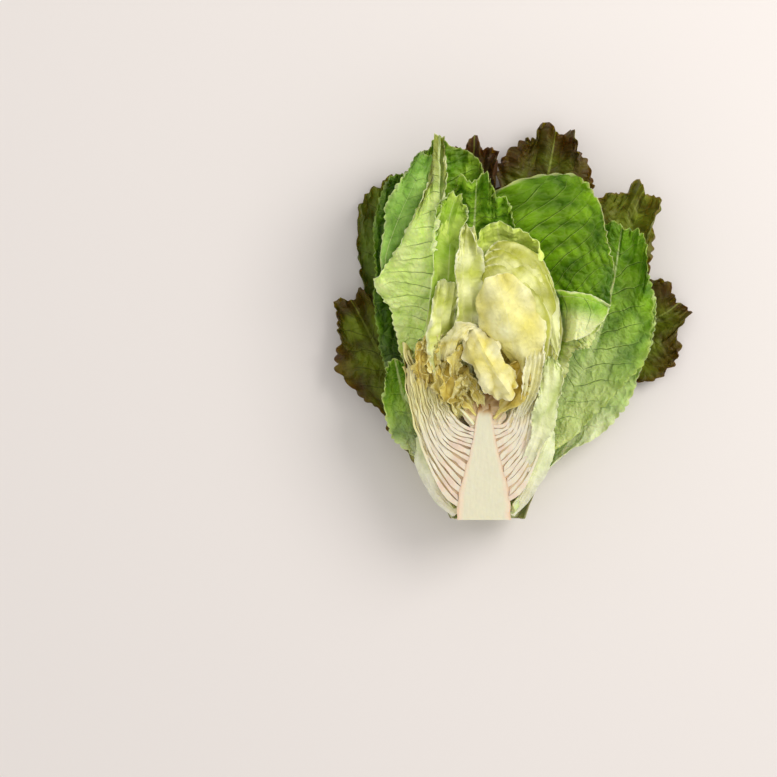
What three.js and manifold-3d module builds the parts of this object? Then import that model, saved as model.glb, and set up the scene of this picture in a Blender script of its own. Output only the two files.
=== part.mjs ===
// Half of a red-tipped head lettuce, cut lengthwise through its core and laid on its back.
//
// The cut stem (core) carries every leaf. Round it, from the inside out, are the crumpled yellow
// heart leaves, the packed leaf bases (half cups, sliced through by the cut), the green leaves
// that wrap them, and the red-edged outer leaves that lie on the table.
//
// Millimetres, +Z up off the table, +Y from the cut stem end towards the leaf tips. Leaves are
// laid out from the middle of the stem's end; the last lines move the group so that the origin
// is the middle of the base of the object's box.

import * as THREE from "three";
import { mergeVertices } from "three/addons/utils/BufferGeometryUtils.js";
import Module from "manifold-3d";

const wasm = await Module();
wasm.setup();

// ---------------------------------------------------------------- driving dimensions

const CORE_LENGTH = 72; // stem left in the head, from the cut end to its growing point
const CORE_RADII = [16, 15.4, 13.2, 9.6, 6.6, 4.6, 2.6]; // evenly spaced along the core
const CUT_HEIGHT = 50; // cut face over the table at the stem's end
const CUT_SLOPE = 0.13; // its rise for each mm towards the leaf tips
const FLATTEN = 0.76; // the packed heart sags to this share of its half width in depth
const BLADE = 0.8; // leaf thickness at the margin
const GAP = 0.35; // kept between neighbouring pieces
const WELDS = [0.06, 0.04, 0.02, 0.01, 0.003, 0.001]; // how close vertices are joined after a cut
const CLEAR = 1.4; // free space that a leaf keeps behind the one inside it
const BEND_ROUNDS = 2; // each leaf is bent clear this many times
const CORE_SIDES = 28; // facets round the core
const CORE_TIP = 1.5; // the growing point stands this much past the core's length
const KNIFE = 400; // wider and deeper than the head
const FACE_TURN = 1.6; // a leaf faces its own way from 1 / FACE_TURN of its length on
const CURL_STEPS = 12; // straight pieces that a blade's curl is added up from
const RIM = { across: 2.5, top: 6, root: 2.2 }; // powers and rate that keep waves to the rim
const ROUND = 2.2; // how fast the way round the rim turns the corner at the top
const SWELL = 0.3; // share by which the waves round one leaf differ in height
const RIPPLE = { height: 0.45, count: 2.3 }; // finer waves on the waves, in shares of them
const SPRAY = 0.6; // share of their height by which waves also stretch the rim outwards
const CLOSER = { across: 0.8, along: 0.85 }; // powers that crowd cells at the rim and the top
const CUP_TURN = 100; // degrees round the core to either side, past the cut for a clean slice
const CUP_BEND = [0.6, 0.24]; // where a leaf base bends up, in shares of its reach and height
const CUP_CRINKLE = 0.9; // height of a leaf base's crinkles at its top
const CUP_REACH = 10; // furthest that a leaf base is bent back to clear the one inside it
const HEART_REACH = 10; // the same for a heart leaf
const HEART_RIB = [3.5, 1.2]; // half width and thickness of a heart leaf's midrib at the root
const COLOURS = {
  core: 0xe3e2c0,
  leaf: 0xe9dcc2,
  heart: 0xe6dd80,
  green: 0x79ab3c,
  red: 0x4a2f1c,
};

const { degToRad, clamp } = THREE.MathUtils;
const mix = (a, b, t) => a + (b - a) * t;
const smooth = (t) => THREE.MathUtils.smoothstep(t, 0, 1);
// A leaf's own offset for its k-th wave, from 0 to a full turn.
const phase = (seed, k) => 2 * Math.PI * ((seed * 0.61803 + k * 0.7548) % 1);

// ---------------------------------------------------------------- solids

function solidFrom(geometry) {
  const bare = geometry.clone();
  bare.deleteAttribute("normal");
  bare.deleteAttribute("uv");
  const merged = mergeVertices(bare, 1e-4);
  return new wasm.Manifold(
    new wasm.Mesh({
      numProp: 3,
      vertProperties: new Float32Array(merged.attributes.position.array),
      triVerts: new Uint32Array(merged.index.array),
    }),
  );
}

function geometryFrom(solid) {
  const { numProp, numVert, vertProperties, triVerts } = solid.getMesh();
  const positions = new Float32Array(numVert * 3);
  for (let i = 0; i < numVert; i++) {
    positions.set(vertProperties.subarray(i * numProp, i * numProp + 3), i * 3);
  }
  const geometry = new THREE.BufferGeometry();
  geometry.setAttribute("position", new THREE.BufferAttribute(positions, 3));
  geometry.setIndex(new THREE.BufferAttribute(new Uint32Array(triVerts), 1));
  return geometry;
}

// The largest body of a solid: scraps left loose by a cut are dropped.
const largest = (solid) => solid.decompose().sort((a, b) => b.volume() - a.volume())[0];

// The solid with the slivers that cuts leave behind closed up: vertices closer together than the
// widest of WELDS that keeps it whole become one.
function welded(solid) {
  const geometry = geometryFrom(solid);
  const corners = geometry.index.array;
  const spots = geometry.attributes.position;
  const spot = (_, i) => new THREE.Vector3().fromBufferAttribute(spots, i);
  const points = Array.from({ length: spots.count }, spot);
  for (const width of WELDS) {
    const first = (point) => points.findIndex((other) => other.distanceTo(point) < width);
    const joined = points.map(first);
    const index = [];
    for (let i = 0; i < corners.length; i += 3) {
      const [a, b, c] = [0, 1, 2].map((k) => joined[corners[i + k]]);
      if (a !== b && b !== c && c !== a) index.push(a, b, c);
    }
    if (!closed(index)) continue;
    geometry.setIndex(index);
    return largest(solidFrom(geometry));
  }
  return solid;
}

// Whether every edge of a list of triangles borders exactly two of them.
function closed(index) {
  const uses = new Map();
  for (let i = 0; i < index.length; i++) {
    const pair = [index[i], index[i % 3 === 2 ? i - 2 : i + 1]].sort((a, b) => a - b).join();
    uses.set(pair, (uses.get(pair) ?? 0) + 1);
  }
  return [...uses.values()].every((count) => count === 2);
}

// ---------------------------------------------------------------- the two knife cuts

const cutHeight = (y) => CUT_HEIGHT + CUT_SLOPE * y;

// Everything above the lengthwise cut: the half of the head that was sliced away.
function slicedAway() {
  const block = new THREE.BoxGeometry(KNIFE, 2 * KNIFE, KNIFE);
  block.translate(0, 0, KNIFE / 2);
  block.rotateX(Math.atan(CUT_SLOPE));
  block.translate(0, 0, CUT_HEIGHT);
  return solidFrom(block);
}

// Everything below the cut stem end, where the head was trimmed off its root.
function trimmedRoot() {
  const block = new THREE.BoxGeometry(KNIFE, KNIFE / 2, KNIFE);
  block.translate(0, -KNIFE / 4, 0);
  return solidFrom(block);
}

const otherHalf = slicedAway();
const trimmed = trimmedRoot();

// ---------------------------------------------------------------- core

// The core's radius, read off CORE_RADII by straight lines.
function coreRadius(y) {
  const steps = CORE_RADII.length - 1;
  const t = clamp((y / CORE_LENGTH) * steps, 0, steps - 1e-6);
  const i = Math.floor(t);
  return mix(CORE_RADII[i], CORE_RADII[i + 1], t - i);
}

// The stem: turned on the leaf radii, leaning along with the cut plane, then halved by it.
function coreSolid() {
  const steps = CORE_RADII.length - 1;
  const profile = CORE_RADII.map((r, i) => new THREE.Vector2(r, (i * CORE_LENGTH) / steps));
  profile.unshift(new THREE.Vector2(0, 0));
  profile.push(new THREE.Vector2(0, CORE_LENGTH + CORE_TIP));
  const turned = new THREE.LatheGeometry(profile, CORE_SIDES);
  const lean = new THREE.Matrix4().makeShear(0, 0, 0, CUT_SLOPE, 0, 0);
  turned.applyMatrix4(lean);
  turned.translate(0, 0, CUT_HEIGHT);
  return solidFrom(turned).subtract(otherHalf);
}

// ---------------------------------------------------------------- leaf blades

// Where a leaf leaves the core: azimuth in degrees round it (0 is straight down, 90 the right
// edge of the cut) and the height along it. face looks from there to the core's axis.
function rootOf(leaf) {
  const [azimuth, along] = leaf.root;
  const a = degToRad(azimuth);
  const out = new THREE.Vector3(Math.sin(a), 0, -Math.cos(a));
  const axis = new THREE.Vector3(0, along, cutHeight(along));
  const point = axis.addScaledVector(out, coreRadius(along) + leaf.rib[1] + GAP);
  return { point, face: out.negate() };
}

// The leaf's half width at share u of its length: narrow rib, wide blade, rounded top.
function halfWidth(leaf, u, side) {
  const wide = leaf.wide[side];
  const { start, widest } = leaf;
  if (u < widest) return mix(leaf.rib[0], wide, smooth((u - start) / (widest - start)));
  return wide * (1 - leaf.taper * ((u - widest) / (1 - widest)) ** leaf.ease);
}

// The moving frame along the midrib: a smooth curve through the root and the path's points.
// face turns from the core's to the leaf's own over the first half of the way.
function midribFrame(leaf) {
  const root = rootOf(leaf);
  const points = [root.point, ...leaf.path.map((p) => new THREE.Vector3(...p))];
  const curve = new THREE.CatmullRomCurve3(points, false, "catmullrom", 0.5);
  const own = new THREE.Vector3(...leaf.face).normalize();
  const at = (s) => {
    const t = clamp(s, 0, 1);
    const along = curve.getTangent(t);
    const face = root.face.clone().lerp(own, smooth(t * FACE_TURN));
    face.addScaledVector(along, -face.dot(along)).normalize();
    return { point: curve.getPoint(t), along, face, across: along.clone().cross(face) };
  };
  return { at, length: curve.getLength() };
}

// One point of the leaf's middle surface. u runs from the root to the top, v from the left
// margin (-1) to the right (1). The blade is swept along the midrib path; across it, it turns
// by keel at the midrib and by curl out to the margin, and waves ride on it near the margin.
function bladePoint(leaf, frame, u, v) {
  const side = v < 0 ? 0 : 1;
  const sign = v < 0 ? -1 : 1;
  const width = halfWidth(leaf, u, side);
  const s = u - ((leaf.arch * leaf.wide[side]) / frame.length) * v * v * u * u;
  const { point, along, face, across } = frame.at(s);
  const keel = degToRad(leaf.keel * smooth(s * 2));
  const curl = degToRad(mix(leaf.curl[side][0], leaf.curl[side][1], s));
  let out = 0;
  let lift = 0;
  for (let k = 0; k < CURL_STEPS; k++) {
    const angle = keel + curl * (((k + 0.5) / CURL_STEPS) * Math.abs(v)) ** leaf.roll;
    out += (Math.cos(angle) * width * Math.abs(v)) / CURL_STEPS;
    lift += (Math.sin(angle) * width * Math.abs(v)) / CURL_STEPS;
  }
  const turn = keel + curl * Math.abs(v) ** leaf.roll;
  const normal = face.clone().multiplyScalar(Math.cos(turn));
  normal.addScaledVector(across, -sign * Math.sin(turn));

  const [height, count] = leaf.waves;
  const round = Math.atan2(v, (s - 0.5) * ROUND);
  const inside = (1 - Math.abs(v) ** RIM.across) * (1 - u ** RIM.top);
  const edge = (1 - inside) * smooth(u * RIM.root);
  const swell = 1 - SWELL + SWELL * Math.sin(2 * round + phase(leaf.seed, 2));
  const big = Math.sin(count * round + phase(leaf.seed, 1)) * swell;
  const ripple = Math.sin(RIPPLE.count * count * round + phase(leaf.seed, 3));
  const small = RIPPLE.height * ripple * edge;
  const spread = SPRAY * height * edge * Math.cos(count * round + phase(leaf.seed, 1));

  return point
    .clone()
    .addScaledVector(across, sign * out + spread * Math.sin(round))
    .addScaledVector(along, spread * Math.cos(round))
    .addScaledVector(face, lift)
    .addScaledVector(normal, height * edge * (big + small));
}

// Stations across a blade, closer together towards the wavy margins, and along it, closer
// together towards the wavy top.
const stationsAcross = (count) => {
  const even = Array.from({ length: count + 1 }, (_, j) => (2 * j) / count - 1);
  return even.map((v) => Math.sign(v) * Math.abs(v) ** CLOSER.across);
};
const stationsAlong = (count) =>
  Array.from({ length: count + 1 }, (_, i) => (i / count) ** CLOSER.along);

// A leaf's middle surface as a grid of points, and its thickness behind that surface: the blade,
// with the fleshy midrib standing out of its back and fading towards the top.
function leafSurface(leaf) {
  const frame = midribFrame(leaf);
  const us = stationsAlong(leaf.cells[0]);
  const vs = stationsAcross(leaf.cells[1]);
  const grid = us.map((u) => vs.map((v) => bladePoint(leaf, frame, u, v)));
  const back = (i, j) => {
    const x = (vs[j] * halfWidth(leaf, us[i], 1)) / leaf.rib[0];
    return BLADE / 2 + leaf.rib[1] * (1 - us[i]) ** 1.5 * Math.exp(-1.5 * x * x);
  };
  return { grid, back, front: BLADE / 2, hold: 0, reach: leaf.reach };
}

// ---------------------------------------------------------------- packed leaf bases

// One leaf base of the packed heart: half a cup that leaves the core at root and opens to reach
// (left, right) at top, its free part crinkled along and round the head.
function cupSurface(cup) {
  const [long, cross] = cup.cells;
  const grid = [];
  for (let i = 0; i <= long; i++) {
    const t = i / long;
    const row = [];
    for (let j = 0; j <= cross; j++) {
      const a = degToRad(mix(-CUP_TURN, CUP_TURN, j / cross));
      const root = cup.root + 2 * Math.sin(a + cup.seed);
      const top = cup.top + 4 * Math.sin(3 * a + cup.seed);
      const [left, right] = cup.reach;
      const reach = mix(left, right, 0.5 + 0.5 * Math.sin(clamp(a, -Math.PI / 2, Math.PI / 2)));
      const near = new THREE.Vector2(coreRadius(root) + GAP, root);
      const [out, up] = CUP_BEND;
      const bend = new THREE.Vector2(mix(near.x, reach, out), mix(root, top, up));
      const far = new THREE.Vector2(reach, top);
      const p = new THREE.QuadraticBezierCurve(near, bend, far).getPoint(t);
      const pleats = Math.sin(8 * a + phase(cup.seed, 1));
      const folds = Math.sin(11 * t + 3 * a + phase(cup.seed, 2));
      const r = p.x + CUP_CRINKLE * t * t * (pleats + folds);
      const deep = mix(1, FLATTEN, smooth(t * 2)) * r;
      row.push(new THREE.Vector3(r * Math.sin(a), p.y, cutHeight(p.y) - deep * Math.cos(a)));
    }
    grid.push(row);
  }
  const back = (i) => mix(cup.thick, BLADE, smooth((i / long) * 1.2));
  return { grid, back, front: 0, hold: 2, reach: CUP_REACH };
}

// ---------------------------------------------------------------- shells

function normalAt(grid, i, j, step) {
  const rows = grid.length - 1;
  const columns = grid[0].length - 1;
  const up = grid[Math.min(i + step, rows)][j].clone().sub(grid[Math.max(i - step, 0)][j]);
  const right = grid[i][Math.min(j + step, columns)].clone().sub(grid[i][Math.max(j - step, 0)]);
  return right.cross(up).normalize();
}

// A closed solid from a grid of points: the grid pushed out by front, and by back the other way,
// each cell split along the same diagonal on both faces, and the rim closed all round.
function shellSolid(grid, front, back) {
  const rows = grid.length;
  const columns = grid[0].length;
  const positions = [];
  for (const side of [1, -1]) {
    for (let i = 0; i < rows; i++) {
      for (let j = 0; j < columns; j++) {
        const push = side > 0 ? front : -back(i, j);
        positions.push(...grid[i][j].clone().addScaledVector(normalAt(grid, i, j, 1), push).toArray());
      }
    }
  }
  const index = [];
  const half = rows * columns;
  const id = (i, j) => i * columns + j;
  for (let i = 0; i < rows - 1; i++) {
    for (let j = 0; j < columns - 1; j++) {
      const [a, b, c, d] = [id(i, j), id(i, j + 1), id(i + 1, j + 1), id(i + 1, j)];
      index.push(a, b, c, a, c, d);
      index.push(half + a, half + c, half + b, half + a, half + d, half + c);
    }
  }
  const wall = (a, b) => index.push(a, half + a, half + b, a, half + b, b);
  for (let j = 0; j < columns - 1; j++) {
    wall(id(0, j), id(0, j + 1));
    wall(id(rows - 1, j + 1), id(rows - 1, j));
  }
  for (let i = 0; i < rows - 1; i++) {
    wall(id(i + 1, 0), id(i, 0));
    wall(id(i, columns - 1), id(i + 1, columns - 1));
  }
  const geometry = new THREE.BufferGeometry();
  geometry.setAttribute("position", new THREE.Float32BufferAttribute(positions, 3));
  geometry.setIndex(index);
  return solidFrom(geometry);
}

// The grid with a point more in the middle of every edge and cell.
function halved(grid) {
  const at = (i, j) => {
    const rows = [grid[Math.floor(i / 2)], grid[Math.ceil(i / 2)]];
    const [a, b] = rows.map((row) => row[Math.floor(j / 2)].clone().lerp(row[Math.ceil(j / 2)], 0.5));
    return a.lerp(b, 0.5);
  };
  const wide = Array.from({ length: grid[0].length * 2 - 1 });
  return Array.from({ length: grid.length * 2 - 1 }, (_, i) => wide.map((_, j) => at(i, j)));
}

// Bends a surface back, along its own normals, until it clears every one of blades, and lays
// what would sink into the table flat on it. Each point takes the most that the surface needs
// within a cell of it, evened out over its neighbours, so that the blade stays smooth. The first
// hold rows stay by the core.
function bendClear(grid, back, blades, hold, reach) {
  const ray = new THREE.Raycaster();
  ray.far = reach + CLEAR;
  const fine = halved(grid);
  const needed = fine.map((row, i) =>
    row.map((point, j) => {
      const normal = normalAt(fine, i, j, 6);
      ray.set(point.clone().addScaledVector(normal, -reach), normal);
      const [hit] = ray.intersectObjects(blades, false);
      return hit ? reach + CLEAR - hit.distance : 0;
    }),
  );
  const around = (field, i, j, n) => {
    const rows = field.slice(Math.max(i - n, 0), i + n + 1);
    return rows.flatMap((row) => row.slice(Math.max(j - n, 0), j + n + 1));
  };
  const most = (i, j, n) => Math.max(...around(needed, 2 * i, 2 * j, n));
  const widened = grid.map((row, i) => row.map((_, j) => most(i, j, 2)));
  return grid.map((row, i) =>
    row.map((point, j) => {
      const near = around(widened, i, j, 1);
      const depth = Math.max(most(i, j, 1), near.reduce((a, b) => a + b) / near.length);
      const free = smooth((i + 0.5) / (hold + 0.5));
      const moved = point.clone().addScaledVector(normalAt(grid, i, j, 3), -free * depth);
      moved.z = Math.max(moved.z, back(i, j));
      return moved;
    }),
  );
}

// ---------------------------------------------------------------- the leaves

// What a leaf has where its entry doesn't say otherwise.
const USUAL = {
  rib: [6, 1], // half width and thickness of the midrib at the root
  start: 0, // share of the length where the blade starts to widen
  widest: 0.66, // share of the length where the blade is widest
  taper: 0.3, // how much narrower its top is
  ease: 2, // 1 narrows it evenly, more keeps it wide for longer
  arch: 0.6, // how far the top's corners fall back, in half widths
  keel: 0, // degrees by which each half of the blade turns up at the midrib
  curl: [[15, 25], [15, 25]], // degrees that each half turns up towards the margin, at root and top
  roll: 1, // above 1, the curl is kept to the margin
  waves: [4, 7], // height of the margin's waves and how many go round the blade
  face: [0, 0, 1], // the way the inner side of the blade's top faces
  reach: 26, // furthest that it is bent back to clear what lies inside it
  cells: [11, 8], // cells along and across the blade
};

// The leaf lists run from the heart outwards: each leaf is bent clear of the ones before it.
// root is the azimuth round the core and the height on it, path the midrib from there, and wide
// the half widths left and right of it.
const HEART = [
  {
    name: "heart_fold", seed: 20, root: [30, 66],
    path: [[6, 82, 70], [-3, 97, 78], [-9, 112, 76], [-8, 124, 66]], wide: [13, 15],
    curl: [[-80, -70], [-90, -90]], waves: [2, 6], cells: [12, 8],
  },
  {
    name: "heart_small", seed: 21, root: [-60, 66],
    path: [[-14, 76, 59], [-19, 88, 63], [-22, 100, 59]], wide: [12, 12], waves: [3, 7],
    cells: [10, 6],
  },
  {
    name: "heart_right_low", seed: 22, root: [80, 64],
    path: [[13, 74, 64], [18, 87, 70], [24, 98, 66]], wide: [10, 12], waves: [2, 6],
    cells: [10, 6],
  },
  {
    name: "heart_dome", seed: 16, root: [60, 60],
    path: [[22, 84, 66], [22, 112, 80], [14, 142, 80], [8, 165, 68]], wide: [25, 25],
    curl: [[-60, -60], [-70, -60]], waves: [2, 6],
  },
  {
    name: "heart_left_upright", seed: 17, root: [-10, 62],
    path: [[-12, 92, 60], [-14, 125, 70], [-13, 155, 74], [-11, 182, 70]], wide: [8, 11],
    curl: [[40, 60], [40, 60]], waves: [1.5, 6], cells: [12, 6],
  },
  {
    name: "heart_left_low", seed: 19, root: [-75, 60],
    path: [[-22, 82, 58], [-27, 102, 67], [-26, 126, 72], [-23, 148, 70]], wide: [8, 8],
    waves: [2, 7], cells: [12, 6],
  },
  {
    name: "heart_left_folds", seed: 18, root: [-45, 60],
    path: [[-20, 84, 54], [-23, 120, 62], [-22, 160, 66], [-20, 187, 66]], wide: [12, 12],
    waves: [2, 8], cells: [12, 6],
  },
];

const CUPS = [
  { name: "leaf_base_7", seed: 37, root: 58, top: 84, reach: [15, 12], thick: 2.2, cells: [6, 10] },
  { name: "leaf_base_6", seed: 36, root: 52, top: 90, reach: [21, 16], thick: 2.6, cells: [7, 12] },
  { name: "leaf_base_5", seed: 35, root: 45, top: 96, reach: [27, 21], thick: 2.8, cells: [7, 12] },
  { name: "leaf_base_4", seed: 34, root: 37, top: 102, reach: [33, 26], thick: 3.0, cells: [8, 14] },
  { name: "leaf_base_3", seed: 33, root: 29, top: 107, reach: [38, 31], thick: 3.2, cells: [8, 14] },
  { name: "leaf_base_2", seed: 32, root: 21, top: 108, reach: [43, 36], thick: 3.4, cells: [8, 14] },
  { name: "leaf_base_1", seed: 31, root: 12, top: 92, reach: [46, 40], thick: 3.6, cells: [8, 14] },
];

const WRAPPERS = [
  {
    name: "heart_wrap", seed: 15, root: [4, 12],
    path: [[6, 60, 24], [10, 110, 26], [12, 155, 34], [8, 184, 50]], wide: [46, 46],
    curl: [[60, 70], [70, 78]], waves: [2, 8], cells: [13, 10],
  },
  {
    name: "green_leaf_low_left", seed: 7, root: [-50, 10],
    path: [[-34, 42, 30], [-48, 72, 38], [-55, 99, 44]], wide: [16, 14], waves: [2.5, 5],
    reach: 14, face: [0.2, 0, 1], cells: [9, 8],
  },
  {
    name: "green_leaf_top", seed: 11, root: [6, 8],
    path: [[2, 70, 22], [-4, 120, 22], [-6, 170, 38], [-5, 212, 62]], wide: [25, 27],
    waves: [5, 9],
  },
  {
    name: "green_leaf_left_front", seed: 14, root: [-45, 14],
    path: [[-36, 64, 34], [-42, 96, 56], [-33, 130, 68], [-29, 180, 76], [-28, 238, 66]],
    wide: [41, 15], start: 0.36, widest: 0.7, taper: 0.85, ease: 0.8,
    curl: [[-10, -15], [-60, -60]], keel: -20, waves: [3, 8], reach: 8,
  },
  {
    name: "green_leaf_round", seed: 10, root: [40, 14],
    path: [[26, 60, 30], [36, 104, 42], [52, 128, 52], [88, 134, 58]], wide: [88, 24],
    taper: 0.1, widest: 0.8, arch: 0.25, curl: [[5, 12], [10, 20]], waves: [4, 7],
    cells: [13, 10],
  },
  {
    name: "green_leaf_top_left", seed: 12, root: [-18, 8],
    path: [[-16, 70, 22], [-28, 120, 24], [-32, 180, 38], [-26, 236, 50]], wide: [20, 34],
    waves: [4, 8],
  },
  {
    name: "green_leaf_left_back", seed: 13, root: [-35, 10],
    path: [[-40, 70, 26], [-50, 120, 32], [-52, 175, 42], [-46, 216, 50]], wide: [18, 18],
    waves: [2, 7],
  },
  {
    name: "green_leaf_right", seed: 9, root: [48, 10],
    path: [[38, 52, 22], [63, 93, 22], [79, 136, 26], [87, 184, 38]], wide: [34, 31],
    waves: [4, 8],
  },
  {
    name: "green_leaf_low_right", seed: 8, root: [62, 8],
    path: [[46, 42, 14], [74, 84, 11], [86, 124, 12], [92, 158, 18]], wide: [28, 24],
    waves: [3, 8],
  },
];

const OUTER = [
  {
    name: "red_leaf_top_left", seed: 2, root: [-12, 5],
    path: [[-8, 80, 12], [-8, 160, 10], [-5, 238, 20]], wide: [24, 20], waves: [5, 9],
  },
  {
    name: "red_leaf_top_right", seed: 4, root: [25, 6],
    path: [[38, 78, 12], [74, 146, 12], [102, 208, 20]], wide: [28, 26], waves: [6, 9],
  },
  {
    name: "red_leaf_low_left", seed: 6, root: [-38, 7],
    path: [[-38, 52, 14], [-62, 98, 10], [-84, 140, 12]], wide: [26, 26], waves: [5, 8],
    widest: 0.8,
  },
  {
    name: "red_leaf_top", seed: 1, root: [10, 4],
    path: [[8, 80, 4], [24, 150, 2], [39, 205, 12], [47, 246, 14]], wide: [29, 29],
    waves: [6, 9], widest: 0.8,
  },
  {
    name: "red_leaf_right", seed: 3, root: [40, 5],
    path: [[36, 60, 5], [80, 106, 1], [127, 136, 8]], wide: [40, 32], waves: [6, 9],
    widest: 0.85,
  },
  {
    name: "red_leaf_left", seed: 5, root: [-25, 4],
    path: [[-32, 70, 4], [-52, 130, 2], [-60, 214, 10]], wide: [25, 24], waves: [4, 8],
  },
];

// ---------------------------------------------------------------- the whole half head

const head = new THREE.Group();
head.name = "lettuce_half";
const blades = []; // the leaves and leaf bases so far, for the next ones to bend clear of
const kept = []; // each piece's solid, and the room that it takes with its gap

function place(name, solid, room) {
  const color = COLOURS[name.split("_")[0]];
  const look = { color, roughness: 0.55, metalness: 0, side: THREE.DoubleSide };
  const material = new THREE.MeshStandardMaterial(look);
  const mesh = new THREE.Mesh(geometryFrom(solid), material);
  mesh.name = name;
  head.add(mesh);
  kept.push({ solid, room });
  return mesh;
}

// Places one thin piece: bent clear of the blades before it, sliced by the knife, then trimmed
// where its facets would still cross a piece.
function placeShell(name, surface, knife) {
  const { back, front } = surface;
  let { grid } = surface;
  for (let round = 0; round < BEND_ROUNDS; round++) {
    grid = bendClear(grid, back, blades, surface.hold, surface.reach);
  }
  const whole = shellSolid(grid, front, back);
  const swollen = shellSolid(grid, front + GAP, (i, j) => back(i, j) + GAP);
  let solid = whole.subtract(knife);
  for (const other of kept) {
    if (solid.intersect(other.solid).volume() > 0) solid = solid.subtract(other.room);
  }
  solid = welded(largest(solid));
  blades.push(place(name, solid, swollen.add(whole).add(solid)));
}

const core = coreSolid();
place("core", core, core);
const heartUsual = { ...USUAL, rib: HEART_RIB, reach: HEART_REACH };
for (const entry of HEART) placeShell(entry.name, leafSurface({ ...heartUsual, ...entry }), trimmed);
for (const cup of CUPS) placeShell(cup.name, cupSurface(cup), otherHalf);
for (const entry of [...WRAPPERS, ...OUTER]) {
  placeShell(entry.name, leafSurface({ ...USUAL, ...entry }), trimmed);
}

const box = new THREE.Box3().setFromObject(head);
const middle = box.getCenter(new THREE.Vector3());
head.position.set(-middle.x, -middle.y, -box.min.z);

export default head;
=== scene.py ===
from functools import partial

import bmesh
import bpy
import numpy as np
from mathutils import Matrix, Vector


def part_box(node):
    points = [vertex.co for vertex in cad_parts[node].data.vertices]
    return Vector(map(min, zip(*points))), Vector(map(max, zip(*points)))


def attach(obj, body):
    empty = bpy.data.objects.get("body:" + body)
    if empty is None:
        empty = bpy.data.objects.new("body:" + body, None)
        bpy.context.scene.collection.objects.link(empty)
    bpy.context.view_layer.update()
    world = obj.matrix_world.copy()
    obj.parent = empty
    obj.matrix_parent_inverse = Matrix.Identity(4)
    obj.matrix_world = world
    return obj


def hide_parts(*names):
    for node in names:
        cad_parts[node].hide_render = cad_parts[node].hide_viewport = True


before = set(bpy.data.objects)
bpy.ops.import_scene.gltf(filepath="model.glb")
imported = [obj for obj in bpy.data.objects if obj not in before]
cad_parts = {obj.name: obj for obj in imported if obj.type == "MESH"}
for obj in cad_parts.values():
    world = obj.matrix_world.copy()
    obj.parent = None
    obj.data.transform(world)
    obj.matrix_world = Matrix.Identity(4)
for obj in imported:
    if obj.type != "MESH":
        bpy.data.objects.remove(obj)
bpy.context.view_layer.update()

# ---------------------------------------------------------------- core
# The cut stem that carries every leaf: dense wet flesh, sliced lengthwise by the knife. It is
# pale green-cream in the middle, pinker in the cortex band that the leaf bases leave from, and
# browned where it turns into a small hollow at the growing point.

CORE_LENGTH = 72.0  # mm, from the trimmed end to the growing point
CORE_TIP = 1.5  # mm, how far the growing point itself stands past that
CORE_RADII = [16.0, 15.4, 13.2, 9.6, 6.6, 4.6, 2.6]  # mm, evenly spaced along the core
CUT_HEIGHT = 50.0  # mm, the cut face over the table at the stem's end
CUT_SLOPE = 0.13  # its rise for each mm towards the leaf tips
HOLLOW_FROM = 63.0  # mm along the core where the flesh starts to sink and brown
HOLLOW_DEEP = 3.0  # mm, depth of the hollow
SPREAD_OUT = 0.8  # mm, how far the cut flesh spreads past CORE_RADII, on to the leaf bases
CORTEX_FROM, RIND_FROM = 0.72, 0.9  # shares of the half width where they start
TORN_FROM, TORN_TO = 52.0, 80.0  # mm along the core, the torn flesh round the hollow
TORN_SPREAD = 10.0  # mm, how far the torn flesh reaches past the core at its top
CELLS_PER_METRE = 650.0  # torn cells of the cut, about 1.5 mm each
FIBRE_STRETCH = 0.16  # scale of the fibres along the stem: each is six times as long as wide
FLESH = "#e9e4c6"
CORTEX = "#f1dfc2"
CORTEX_PINK = "#e9c3a1"
HOLLOW_TAN = "#d9b67c"
HOLLOW_BROWN = "#97682c"


def smooth(t):
    """Rises from 0 to 1 with level ends: 3t squared minus 2t cubed, t held within 0 and 1."""
    t = np.clip(t, 0.0, 1.0)
    return t * t * (3.0 - 2.0 * t)


def mix(a, b, t):
    """a where t is 0, b where t is 1, and straight between."""
    return a + (b - a) * t


def linear(hex_colour):
    """sRGB hex to linear red, green, blue: the low end over 12.92, the rest to the power 2.4."""
    c = np.array([int(hex_colour[k : k + 2], 16) / 255.0 for k in (1, 3, 5)])
    return np.where(c < 0.04045, c / 12.92, ((c + 0.055) / 1.055) ** 2.4)


def tint(colour, tone, share):
    """The colour turned towards the hex tone by share at each point, straight between them."""
    return mix(colour, linear(tone), share[..., None])


def cut_height(y):
    """Height of the knife's plane at y mm from the stem's end."""
    return CUT_HEIGHT + CUT_SLOPE * y


def core_radius(y):
    """Radius of the core at y mm along it, by straight lines between CORE_RADII."""
    return np.interp(y, np.linspace(0.0, CORE_LENGTH, len(CORE_RADII)), CORE_RADII)


def blotches(x, y, seed, size):
    """Soft uneven spots about size mm across: a sum of six crossed sine waves, from -1 to 1."""
    turns = np.random.default_rng(seed).uniform(0.0, 2.0 * np.pi, (6, 2))
    spots = 0.0
    for angle, shift in turns:
        wave = 2.0 * np.pi / size * (0.7 + 0.1 * angle)
        spots = spots + np.sin(wave * (x * np.cos(angle) + y * np.sin(angle)) + shift)
    return spots / 6.0


# The middle of the stem's trimmed end, at the table, in mm: everything below is measured from it.
core_low, core_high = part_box("core")
STEM_END = 1000.0 * np.array([(core_low.x + core_high.x) / 2, core_low.y, core_high.z])
STEM_END[2] -= cut_height(CORE_LENGTH + CORE_TIP)


TOUCHING = 2e-6  # m, points of a mesh this close are one
SHARP_FROM = 50.0  # degrees between two faces that meet in a sharp edge


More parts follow.
